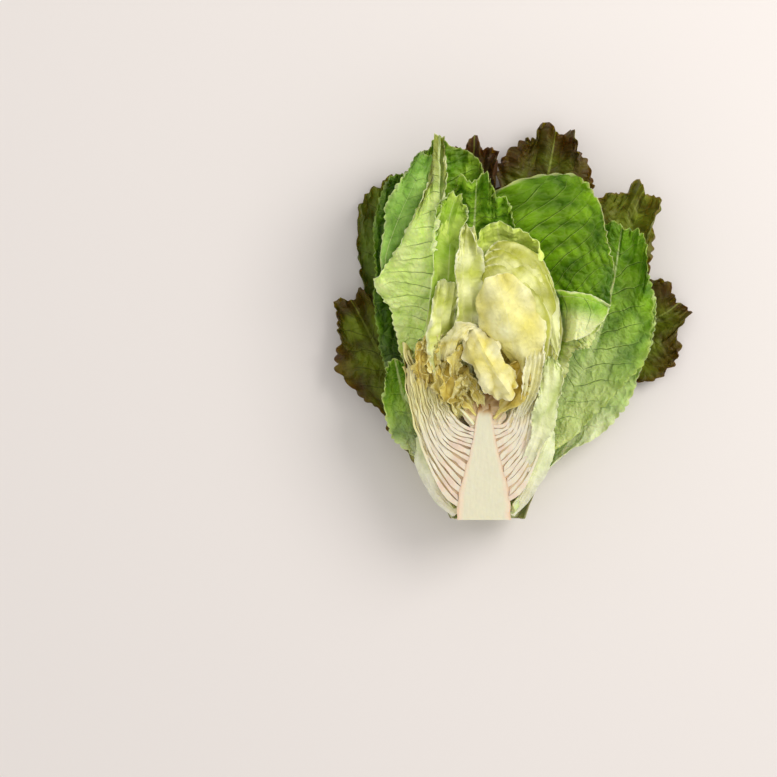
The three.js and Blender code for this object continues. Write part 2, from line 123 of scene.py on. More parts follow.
def closed_sheet(name, front, back, blade_mm, pigment, material, veins=None):
    """A piece from two grids of points, in mm from the stem's end: the front face, the back face
    turned over, and a wall all round between them. blade_mm is each grid point's place on the
    flat blade, pigment its colour, and veins (side vein count, distance from the midrib in
    midrib widths, mm to the margin)."""
    rows, columns = front.shape[:2]
    half = rows * columns
    points = np.concatenate([front.reshape(-1, 3), back.reshape(-1, 3)])
    points = (points + STEM_END) / 1000.0
    ids = np.arange(half).reshape(rows, columns)
    a, b, c, d = ids[:-1, :-1], ids[:-1, 1:], ids[1:, 1:], ids[1:, :-1]
    fronts = np.stack([a, b, c, d], -1).reshape(-1, 4)
    backs = np.stack([a, d, c, b], -1).reshape(-1, 4) + half
    ring = np.concatenate([ids[0, :-1], ids[:-1, -1], ids[-1, :0:-1], ids[:0:-1, 0]])
    after = np.roll(ring, -1)
    walls = np.stack([ring, ring + half, after + half, after], -1)
    faces = np.concatenate([fronts, backs, walls])
    mesh = bpy.data.meshes.new(name)
    mesh.from_pydata(points.tolist(), [], faces.tolist())
    corners = np.empty(len(mesh.loops), int)
    mesh.loops.foreach_get("vertex_index", corners)
    flat = np.tile(blade_mm.reshape(-1, 2), (2, 1))
    mesh.uv_layers.new(name="blade").data.foreach_set("uv", flat[corners].ravel())
    opaque = np.insert(pigment.reshape(-1, 3), 3, 1.0, axis=1)
    paints = [("pigment", "FLOAT_COLOR", "color", opaque)]
    if veins is not None:
        paints.append(("veins", "FLOAT_VECTOR", "vector", veins.reshape(-1, 3)))
    for key, kind, field, values in paints:
        both = np.tile(values, (2, 1)).ravel()
        mesh.attributes.new(key, kind, "POINT").data.foreach_set(field, both)
    work = bmesh.new()
    work.from_mesh(mesh)
    bmesh.ops.remove_doubles(work, verts=work.verts, dist=TOUCHING)
    work.to_mesh(mesh)
    work.free()
    mesh.shade_smooth()
    mesh.set_sharp_from_angle(angle=np.radians(SHARP_FROM))
    mesh.materials.append(material)
    piece = bpy.data.objects.new(name, mesh)
    bpy.context.scene.collection.objects.link(piece)
    return piece


def add_node(material, kind, settings=(), **inputs):
    """Adds one node: settings are (property, value) pairs, and each input is a number, a colour,
    another node's output or another node, which stands for its first output. Inputs go by the
    socket's name with _ for a space, or by its number after n."""
    node = material.node_tree.nodes.new("ShaderNode" + kind)
    for key, value in settings:
        setattr(node, key, value)
    for key, value in inputs.items():
        socket = node.inputs[int(key[1:]) if key[1:].isdigit() else key.replace("_", " ")]
        if isinstance(value, bpy.types.Node):
            value = value.outputs[0]
        if isinstance(value, bpy.types.NodeSocket):
            material.node_tree.links.new(value, socket)
        else:
            socket.default_value = value
    return node


def new_material(name):
    """A material with no nodes yet."""
    material = bpy.data.materials.new(name)
    material.use_nodes = True
    material.node_tree.nodes.clear()
    return material


SCALED = [("operation", "SCALE")]


def cut_flesh(name, wet, grain_mm):
    """Sliced plant tissue: pigment painted on the mesh, fibres grain_mm apart that run along the
    stem, and a bump of torn cells. wet is the roughness of its film of juice. Real fibres and
    cells are finer, and are drawn as coarse as they need to show."""
    material = new_material(name)
    add = partial(add_node, material)
    pigment = add("Attribute", [("attribute_name", "pigment")])
    place = add("TexCoord").outputs["Object"]
    along = add("Mapping", Vector=place, Scale=(1.0, FIBRE_STRETCH, 1.0))
    fibres = add("TexNoise", Vector=along, Scale=1000.0 / grain_mm, Detail=3.0)
    cells = add("TexNoise", Vector=place, Scale=CELLS_PER_METRE, Detail=4.0)
    shade = add("MapRange", Value=fibres, From_Min=0.3, From_Max=0.7, To_Min=0.96, To_Max=1.02)
    tinted = add("VectorMath", SCALED, n0=pigment, Scale=shade)
    relief = add("Bump", Height=cells, Strength=0.3, Distance=0.0004)
    flesh = add(
        "BsdfPrincipled", Base_Color=tinted, Roughness=wet, IOR=1.4, Normal=relief,
        Subsurface_Weight=0.35, Subsurface_Radius=(1.0, 0.8, 0.45), Subsurface_Scale=0.002,
    )
    add("OutputMaterial", Surface=flesh)
    return material


# Wet cut stem: a broad soft sheen over pale, faintly fibrous flesh.
cut_stem_flesh = cut_flesh("cut stem flesh", wet=0.34, grain_mm=1.4)

across, along = np.meshgrid(np.linspace(-90.0, 90.0, 61), np.linspace(0.0, CORE_LENGTH, 90))
turn = np.radians(across)
hollow = smooth((along - HOLLOW_FROM) / (CORE_LENGTH - HOLLOW_FROM))
ragged = 1.0 + 0.05 * blotches(along, across * 0.1, 3, 9.0)
ragged = ragged + 0.12 * hollow * blotches(along, across * 0.2, 4, 3.0)
side = (core_radius(along) + SPREAD_OUT) * np.sin(turn) * ragged
sunk = HOLLOW_DEEP * hollow * np.cos(turn) + 0.12 * blotches(side, along, 5, 4.0)
core_front = np.stack([side, along, cut_height(along) - sunk], -1)
core_depth = np.maximum(core_radius(along) * np.cos(turn), sunk + 0.8 * np.cos(turn))
core_back = np.stack([side, along, cut_height(along) - core_depth], -1)
edge_share = np.abs(np.sin(turn))
pale = tint(linear(FLESH), CORTEX, smooth((edge_share - CORTEX_FROM) / 0.16))
pale = tint(pale, CORTEX_PINK, 0.7 * smooth((edge_share - RIND_FROM) / 0.08))
browning = np.clip(hollow * (1.0 + 0.5 * blotches(side, along, 6, 5.0)), 0.0, 1.0)
core_pigment = tint(pale, HOLLOW_TAN, smooth(browning * 1.6))
core_pigment = tint(core_pigment, HOLLOW_BROWN, smooth(browning * 1.6 - 0.6))
core_mm = np.stack([side, along], -1)
core_face = closed_sheet("core_cut", core_front, core_back, core_mm, core_pigment, cut_stem_flesh)
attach(core_face, "root")
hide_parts("core")

# The flesh round the growing point, torn and browned where the young leaves leave it, and painted
# browner the deeper it lies, as the shade of the hollow; low is how many mm it lies under the cut.
across, along = np.meshgrid(np.linspace(-1.0, 1.0, 61), np.linspace(TORN_FROM, TORN_TO, 41))
reach_out = core_radius(along) + TORN_SPREAD * smooth((along - TORN_FROM) / 14.0)
reach_out = reach_out * (1.0 + 0.12 * blotches(along, across, 8, 5.0))
side = across * reach_out
low = 1.2 + 2.6 * np.abs(blotches(side, along, 9, 9.0)) + 2.0 * smooth((along - 68.0) / 8.0)
torn_front = np.stack([side, along, cut_height(along) - low], -1)
torn_back = torn_front - np.array([0.0, 0.0, 1.0])
torn_pigment = tint(linear(CORTEX), HOLLOW_TAN, smooth((along - 58.0) / 18.0))
# Painted shade over the browning: the deeper the torn flesh lies under the cut, the browner.
torn_pigment = tint(torn_pigment, HOLLOW_BROWN, smooth((low - 2.6) / 2.4))
torn_mm = np.stack([side, along], -1)
torn_flesh = closed_sheet(
    "torn_flesh", torn_front, torn_back, torn_mm, torn_pigment, cut_stem_flesh
)
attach(torn_flesh, "root")

# ---------------------------------------------------------------- leaf bases
# The imported bases of the inner leaves, half cups one inside another, sliced through by the knife.
# Thick, pinkish and juicy where they leave the core, they thin out to crinkled yellow blades, and
# their walls in the gaps between them are painted brown: the shade of the gaps, over some bruised
# skin.

FLATTEN = 0.76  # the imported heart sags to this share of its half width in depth
BLADE = 0.8  # mm, blade thickness that the leaves were bent clear with
GAP = 0.35  # mm, kept between neighbouring pieces
CLEAR = 1.4  # mm, free space behind each leaf
BENT_ROUND = 100.0  # degrees round to either side that a base was bent over; the cut is at 90
BASE_CREAM = "#f0e6cb"
BASE_PINK = "#edd5bf"
BASE_YELLOW = "#f1e9a4"
BASE_OLIVE = "#d6c470"
BASE_BROWN = "#a07c4a"
BED_PINK = "#e6caa6"
BED_TAN = "#ddd096"
BED_THICK = 0.8  # mm
BRUISE_AND_GAP_SHADE = 0.6  # share of brown on a base's walls under the cut: painted shade of the gaps between bases, over some bruised skin
WRINKLE = 0.5  # mm, height of the wrinkles near a base's top
SINK = {"left": 1.7, "right": 1.1}  # mm, how far the bruised tissue lies under the cut
FULLNESS = {"left": 1.0, "right": 1.2}  # how closely the thin leaves are packed on each side
THIN_LOW = 66.0  # degrees round to either side where a thin leaf's lower edge lies
THIN_DEEP = 12.0  # mm, how far under the cut that is
# Thin leaves between two bases: the share of the gap that each one's middle lies at, the share of
# its length that it starts at, and the share of the gap that it fills at the core and at the top.
LAYERS = [(0.5, 0.0, 0.74, 0.4), (0.2, 0.45, 0.17, 0.17), (0.8, 0.32, 0.17, 0.17)]
# From the innermost out: mm along the core where each leaves it and where it ends, mm from the
# core's axis to its top, left and right, mm thick at its root, and the cells it was bent in.
LEAF_BASES = [
    dict(name="leaf_base_7", seed=37, root=58, top=84, reach=(15, 12), thick=2.2, cells=(6, 10)),
    dict(name="leaf_base_6", seed=36, root=52, top=90, reach=(21, 16), thick=2.6, cells=(7, 12)),
    dict(name="leaf_base_5", seed=35, root=45, top=96, reach=(27, 21), thick=2.8, cells=(7, 12)),
    dict(name="leaf_base_4", seed=34, root=37, top=102, reach=(33, 26), thick=3.0, cells=(8, 14)),
    dict(name="leaf_base_3", seed=33, root=29, top=107, reach=(38, 31), thick=3.2, cells=(8, 14)),
    dict(name="leaf_base_2", seed=32, root=21, top=108, reach=(43, 36), thick=3.4, cells=(8, 14)),
    dict(name="leaf_base_1", seed=31, root=12, top=92, reach=(46, 40), thick=3.6, cells=(8, 14)),
]


def phase(seed, k):
    """A leaf's own offset for its k-th wave: a share of a turn that no two leaves share."""
    return 2.0 * np.pi * ((seed * 0.61803 + k * 0.7548) % 1.0)


def normals(grid, step):
    """The direction that a grid of points faces: the chord across, crossed with the chord along,
    each over step cells to either side."""
    rows, columns = grid.shape[:2]
    i, j = np.arange(rows), np.arange(columns)
    up = grid[np.minimum(i + step, rows - 1)] - grid[np.maximum(i - step, 0)]
    right = grid[:, np.minimum(j + step, columns - 1)] - grid[:, np.maximum(j - step, 0)]
    facing = np.cross(right, up)
    return facing / np.maximum(np.linalg.norm(facing, axis=-1, keepdims=True), 1e-9)


def halved(grid):
    """The grid with a point more in the middle of every edge and cell."""
    rows = np.repeat(grid, 2, 0)[:-1].astype(float)
    rows[1::2] = (grid[:-1] + grid[1:]) / 2
    wide = np.repeat(rows, 2, 1)[:, :-1]
    wide[:, 1::2] = (rows[:, :-1] + rows[:, 1:]) / 2
    return wide


def node_triangles(node):
    """A CAD node's triangles, in mm from the stem's end."""
    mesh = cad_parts[node].data
    mesh.calc_loop_triangles()
    corners = np.empty(len(mesh.loop_triangles) * 3, int)
    mesh.loop_triangles.foreach_get("vertices", corners)
    spots = np.empty(len(mesh.vertices) * 3)
    mesh.vertices.foreach_get("co", spots)
    return (1000.0 * spots.reshape(-1, 3) - STEM_END)[corners].reshape(-1, 3, 3)


def first_hits(starts, ways, triangles, far):
    """How far each ray goes before it meets a triangle, or infinity: the crossing of a line and
    a plane, kept where its two shares along the triangle's sides add up to 1 at most. It takes
    64 rays at a time."""
    reached = np.full(len(starts), np.inf)
    low, high = starts.min(0) - far, starts.max(0) + far
    near = np.all((triangles.max(1) > low) & (triangles.min(1) < high), -1)
    a, ab, ac = triangles[near, 0], triangles[near, 1], triangles[near, 2]
    ab, ac = ab - a, ac - a
    for part in range(0, len(starts), 64):
        start, way = starts[part : part + 64, None], ways[part : part + 64, None]
        p = np.cross(way, ac)
        size = np.einsum("rtk,tk->rt", p, ab)
        size = np.where(np.abs(size) < 1e-12, 1e-12, size)
        from_a = start - a
        share_b = np.einsum("rtk,rtk->rt", from_a, p) / size
        q = np.cross(from_a, ab)
        share_c = np.einsum("rik,rtk->rt", way, q) / size
        length = np.einsum("tk,rtk->rt", ac, q) / size
        meets = (share_b >= 0) & (share_c >= 0) & (share_b + share_c <= 1) & (length > 0)
        length = np.where(meets & (length < far), length, np.inf)
        reached[part : part + 64] = length.min(1) if length.size else np.inf
    return reached


def windows(field, size):
    """Each point's neighbourhood, size points to either side, with nothing past the rim."""
    padded = np.pad(field, size, constant_values=np.nan)
    return np.lib.stride_tricks.sliding_window_view(padded, (2 * size + 1, 2 * size + 1))


def bent_clear(grid, back, inner, hold, reach):
    """The grid moved back along its own facing until it clears the triangles inside it, and held
    off the table. A ray from behind each point says how far; a point takes the most needed near
    it, evened out over its neighbours. The first hold rows stay by the core."""
    fine = halved(grid)
    facing = normals(fine, 6)
    far = reach + CLEAR
    hits = first_hits((fine - facing * reach).reshape(-1, 3), facing.reshape(-1, 3), inner, far)
    needed = np.where(np.isfinite(hits), far - hits, 0.0).reshape(fine.shape[:2])
    widened = np.nanmax(windows(needed, 2), (2, 3))[::2, ::2]
    own = np.nanmax(windows(needed, 1), (2, 3))[::2, ::2]
    depth = np.maximum(own, np.nanmean(windows(widened, 1), (2, 3)))
    free = smooth((np.arange(len(grid)) + 0.5) / (hold + 0.5))[:, None]
    moved = grid - (free * depth)[..., None] * normals(grid, 3)
    moved[..., 2] = np.maximum(moved[..., 2], back)
    return moved


def spread(count, places):
    """The shares of count + 1 evenly spaced values that make up the value at each place: the
    uniform cubic B-spline, which never overshoots. Past either end the values run on in a
    straight line, so the first one past it is twice the end one less the one before."""
    at = np.clip(places, 0.0, count)
    i = np.minimum(at.astype(int), count - 1)
    t = at - i
    shares = [(1 - t) ** 3, 3 * t**3 - 6 * t**2 + 4, -3 * t**3 + 3 * t**2 + 3 * t + 1, t**3]
    table = np.zeros((len(at), count + 3))
    for k, share in enumerate(shares):
        table[np.arange(len(at)), i + k] = share / 6.0
    for end, near, far in ((0, 1, 2), (-1, -2, -3)):
        table[:, near] += 2.0 * table[:, end]
        table[:, far] -= table[:, end]
    return table[:, 1:-1]


def base_points(cup, t, a):
    """A leaf base's middle surface. Along it (t) a curve leaves the core at root, leans out like
    a V and ends at reach; round it (a) that curve is carried from the left cut edge to the
    right, crinkled more and more towards the top and sagged to FLATTEN."""
    root = cup["root"] + 2.0 * np.sin(a + cup["seed"])
    top = cup["top"] + 4.0 * np.sin(3.0 * a + cup["seed"])
    half = np.clip(a, -np.pi / 2, np.pi / 2)
    reach = mix(cup["reach"][0], cup["reach"][1], 0.5 + 0.5 * np.sin(half))
    near = core_radius(root) + GAP
    bend_r, bend_y = mix(near, reach, 0.6), mix(root, top, 0.24)
    r = (1 - t) ** 2 * near + 2 * t * (1 - t) * bend_r + t * t * reach
    y = (1 - t) ** 2 * root + 2 * t * (1 - t) * bend_y + t * t * top
    crinkle = np.sin(8 * a + phase(cup["seed"], 1))
    crinkle = crinkle + np.sin(11 * t + 3 * a + phase(cup["seed"], 2))
    r = r + 0.9 * t * t * crinkle
    deep = mix(1.0, FLATTEN, smooth(t * 2)) * r
    return np.stack([r * np.sin(a), y, cut_height(y) - deep * np.cos(a)], -1)


def base_faces(cup, move, t_line, a_line):
    """Inner and outer face of a leaf base: its middle surface, moved as it was bent, wrinkled
    towards the top, and a thickness that thins from the core to the blade."""
    rows, columns = cup["cells"]
    t, a = np.meshgrid(t_line, np.radians(a_line), indexing="ij")
    across = (a_line + BENT_ROUND) / (2.0 * BENT_ROUND) * columns
    shares = spread(rows, t_line * rows), move, spread(columns, across)
    middle = base_points(cup, t, a) + np.einsum("ip,pqk,jq->ijk", *shares)
    seed = cup["seed"]
    wrinkle = np.sin(34 * t + 5 * a + phase(seed, 4))
    wrinkle = wrinkle + 0.7 * np.sin(57 * t - 7 * a + phase(seed, 5))
    middle = middle + (WRINKLE * smooth((t - 0.3) * 1.6) * wrinkle)[..., None] * normals(middle, 2)
    thick = mix(0.8 * cup["thick"], 0.55, smooth(t * 1.15)) * (1.0 + 0.25 * np.sin(13 * t + seed))
    return middle, middle - thick[..., None] * normals(middle, 2), t, a


def base_mm(t, a):
    """A base's place on its flat blade: about 30 mm to a radian round it, and 60 mm long."""
    return np.stack([a * 30.0, t * 60.0], -1)


def base_colours(t, a, y, seed):
    """Cream by the core with pink patches, yellow towards the blade, olive at the upper left, and
    brown on the walls under the cut, painted shade of the gaps between bases over some bruised
    skin."""
    spots = blotches(t * 60, a * 20, seed, 12.0)
    flesh = tint(linear(BASE_CREAM), BASE_PINK, smooth(0.45 + 1.1 * spots - 0.7 * t))
    colour = tint(flesh, BASE_YELLOW, smooth((t - 0.35 + 0.15 * spots) * 2.0))
    aged = smooth((y - 66.0) / 30.0) * smooth(0.5 - a) * (0.55 + 0.6 * spots)
    colour = tint(colour, BASE_OLIVE, np.clip(aged, 0.0, 0.8))
    # Painted shade: brown on the walls that go down into the gaps between bases, with some bruised
    # skin.
    gap_shade_and_bruise = smooth((np.cos(a) - 0.04) / 0.2) * (1.0 - 0.5 * smooth(t * 2.0))
    return tint(colour, BASE_BROWN, BRUISE_AND_GAP_SHADE * gap_shade_and_bruise)


# Juicy cut leaf bases: the same wet flesh, a little glossier, with finer fibres.
cut_base_flesh = cut_flesh("cut leaf base flesh", wet=0.36, grain_mm=1.0)

# The bases were bent clear of the heart leaves and of one another, from the innermost out.
HEART_NODES = ["heart_fold", "heart_small", "heart_right_low", "heart_dome"]
HEART_NODES += ["heart_left_upright", "heart_left_low", "heart_left_folds"]
base_moves = []
for cup in LEAF_BASES:
    within = HEART_NODES + [c["name"] for c in LEAF_BASES[: LEAF_BASES.index(cup)]]
    inner = np.concatenate([node_triangles(n) for n in within])
    rows, columns = cup["cells"]
    t_few = np.linspace(0.0, 1.0, rows + 1)[:, None] + np.zeros(columns + 1)
    a_few = np.linspace(-BENT_ROUND, BENT_ROUND, columns + 1)
    a_few = np.radians(a_few) + np.zeros((rows + 1, 1))
    few = base_points(cup, t_few, a_few)
    bent = few
    thick = mix(cup["thick"], BLADE, smooth(t_few * 1.2))
    for _ in range(2):
        bent = bent_clear(bent, thick, inner, hold=2, reach=10.0)
    base_moves.append(bent - few)
    a_line = 90.0 * np.sin(np.radians(np.linspace(-90.0, 90.0, 61)))
    middle, outer, t, a = base_faces(cup, bent - few, np.linspace(0.0, 1.0, 84), a_line)
    # Both faces end level with the knife's plane, each with its own uneven lip, ripple and droop
    # towards the top, and stay off the table; at the root they close up to the core.
    for shell, lip in ((middle, 0.25), (outer, -0.25)):
        level = cut_height(shell[..., 1]) - 0.2
        at_cut = smooth((np.abs(a) - 1.15) / 0.4)
        shell[..., 2] = mix(np.minimum(shell[..., 2], level), level, at_cut)
        ripple = 0.5 * t * blotches(shell[..., 0], shell[..., 1], cup["seed"], 9.0)
        shell[..., 2] += at_cut * (lip * blotches(t * 50, a, cup["seed"] + 5, 11.0) + ripple)
        shell[..., 2] -= 4.0 * at_cut * smooth((t - 0.8) / 0.2)
        shell[..., 1:] = np.maximum(shell[..., 1:], [0.3, 0.6])
        shell[..., 0] -= 1.2 * np.sign(a) * smooth(1.0 - 9.0 * t) * at_cut
    colours = base_colours(t, a, middle[..., 1], cup["seed"])
    base = closed_sheet(
        cup["name"] + "_cut", middle, outer, base_mm(t, a), colours, cut_base_flesh
    )
    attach(base, "root")
    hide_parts(cup["name"])


def thin_leaf(k, side, n):
    """Both faces of the n-th thin leaf cut between bases k and k + 1, its place on the flat blade
    and its colours. Its middle lies at a share of the gap and sways in three sine waves. It fills
    its share of the gap, unevenly, and tapers off at its end. It lies along the knife's plane,
    sunk a little in sine hollows, tilted, drooping towards the top, and deeper off the cut."""
    seed = 40 + 7 * k + 3 * n + (side == "left")
    share, low, fill_low, fill_high = LAYERS[n]
    t_line = np.linspace(low, 0.985 - 0.03 * n, 130)
    a_line = np.linspace(*((-90.0, -THIN_LOW) if side == "left" else (THIN_LOW, 90.0)), 7)
    nearer = base_faces(LEAF_BASES[k], base_moves[k], t_line, a_line)[1]
    farther, _, t, a = base_faces(LEAF_BASES[k + 1], base_moves[k + 1], t_line, a_line)
    gap = farther - nearer
    room = np.linalg.norm(gap, axis=-1)
    sway = np.sin(38 * t + phase(seed, 1)) + 0.8 * np.sin(71 * t + 2 * a + phase(seed, 2))
    sway = (0.05 + 0.05 * smooth(t * 2 - 1)) * sway + 0.06 * np.sin(15 * t + phase(seed, 3))
    centre = nearer + (share + sway * smooth(t * 1.5))[..., None] * gap
    uneven = 1.0 + 0.45 * np.sin(19 * t + phase(seed, 4)) * np.sin(7 * t + phase(seed, 5))
    fill = mix(fill_low, fill_high, smooth((t - 0.1) * 1.6)) * uneven
    half = np.clip(fill * FULLNESS[side] * room / 2.0, 0.22, 1.9)
    half = half * smooth((1.0 - t) * 12.0 + 0.3)
    toward = half[..., None] * gap / np.maximum(room, 0.05)[..., None]
    front, back = centre - toward, centre + toward
    for shell, lip in ((front, 0.3), (back, -0.3)):
        deep = smooth((90.0 - np.abs(np.degrees(a))) / (90.0 - THIN_LOW)) * THIN_DEEP
        sunk = 0.25 + 0.9 * np.abs(np.sin(9 * t + phase(seed, 6))) * smooth(t * 2.0)
        sunk = sunk + 5.0 * smooth((t - 0.78) / 0.22) - lip * np.sin(27 * t + phase(seed, 7))
        shell[..., 2] = cut_height(shell[..., 1]) - deep - sunk
        shell[..., 1] = np.maximum(shell[..., 1], 0.3)
    return front, back, base_mm(t, a), base_colours(t, a, centre[..., 1], seed)


def bruised_bed(k, side):
    """The bed of bruised tissue under them and its colours: straight from base k to base k + 1
    along the cut, in seven even steps, and sunk under the knife's plane by SINK, give or take its
    blotches."""
    t_line, a_line = np.linspace(0.0, 0.9, 50), np.linspace(-90.0, 90.0, 2)
    column = 0 if side == "left" else 1
    nearer = base_faces(LEAF_BASES[k], base_moves[k], t_line, a_line)[1][:, column]
    farther = base_faces(LEAF_BASES[k + 1], base_moves[k + 1], t_line, a_line)[0][:, column]
    across = np.linspace(0.0, 1.0, 8)[:, None]
    bed = mix(nearer[:, None], farther[:, None], across if side == "right" else across[::-1])
    patchy = blotches(bed[..., 0], bed[..., 1], k, 14.0)
    bed[..., 2] = cut_height(bed[..., 1]) - np.maximum(SINK[side] + 1.2 * patchy, 0.75)
    t = t_line[:, None] + np.zeros(8)
    return bed, tint(linear(BED_PINK), BED_TAN, smooth(t * 1.6))


# Between two bases lie the cut edges of more leaves, too thin to stand alone.
for k in range(len(LEAF_BASES) - 1):
    for side in ("left", "right"):
        for n in range(len(LAYERS)):
            name = f"cut_layer_{side}_{k}_{n}"
            ribbon = closed_sheet(name, *thin_leaf(k, side, n), cut_base_flesh)
            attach(ribbon, "root")
        bed, colours = bruised_bed(k, side)
        below = bed - np.array([0.0, 0.0, BED_THICK])
        name = f"bruised_layer_{side}_{k}"
        bruised = closed_sheet(name, bed, below, bed[..., :2], colours, cut_base_flesh)
        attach(bruised, "root")

# ---------------------------------------------------------------- heart leaves
# Young leaves folded over the growing point: thin, soft and pale yellow because no light reaches
# them, crumpled by the room they had, with whitish ribs and frilled greenish margins.

HEART_TONES = ("#f8f3cc", "#fcf4b4", "#e6d668", "#fbf6c8")  # rib, raised, hollow, margin; the hollow tone also paints the shade in the valleys between blisters
DOME_TONES = ("#f6f2c4", "#fbf5b2", "#e9dd76", "#f9f6c4")
LAYER_TONES = ("#eaecae", "#e8e896", "#b6b844", "#fbf8cc")
PALE_TONES = ("#eef0b6", "#eef0a8", "#c4cc5c", "#fbf9d4")
LIME_TONES = ("#dfe99c", "#cbe266", "#93b82e", "#eff6bc")
TAN_TONES = ("#ebda78", "#e8d066", "#ab902a", "#f1e08a")
CRUMPLE_TONES = ("#f4eb9e", "#f3e58c", "#d3bb48", "#f8efac")
# Nested layers over the dome; each has a band of painted shade just inside its margin.
DOME_LAYER = dict(
    reach=2.0, taper=0.4, ease=4.0, curl=((-60, -60), (-70, -60)), waves=(0.6, 5), tooth=0.2,
    frill=0.4, lumps=(0.3, 30.0), folds=(0.5, 3.0), band=0.9, tones=LAYER_TONES,
)
CRUMPLE = dict(wide=(4.5, 4.5), curl=((50, 70), (60, 80)), waves=(2.0, 9), tones=CRUMPLE_TONES)
OUTER_RIB = dict(
    rib=(3.0, 2.0), taper=0.6, waves=(0.3, 4), frill=0.0, tooth=0.0, folds=(0.6, 4.0),
    lumps=(0.2, 24.0), pale=1.0,
)
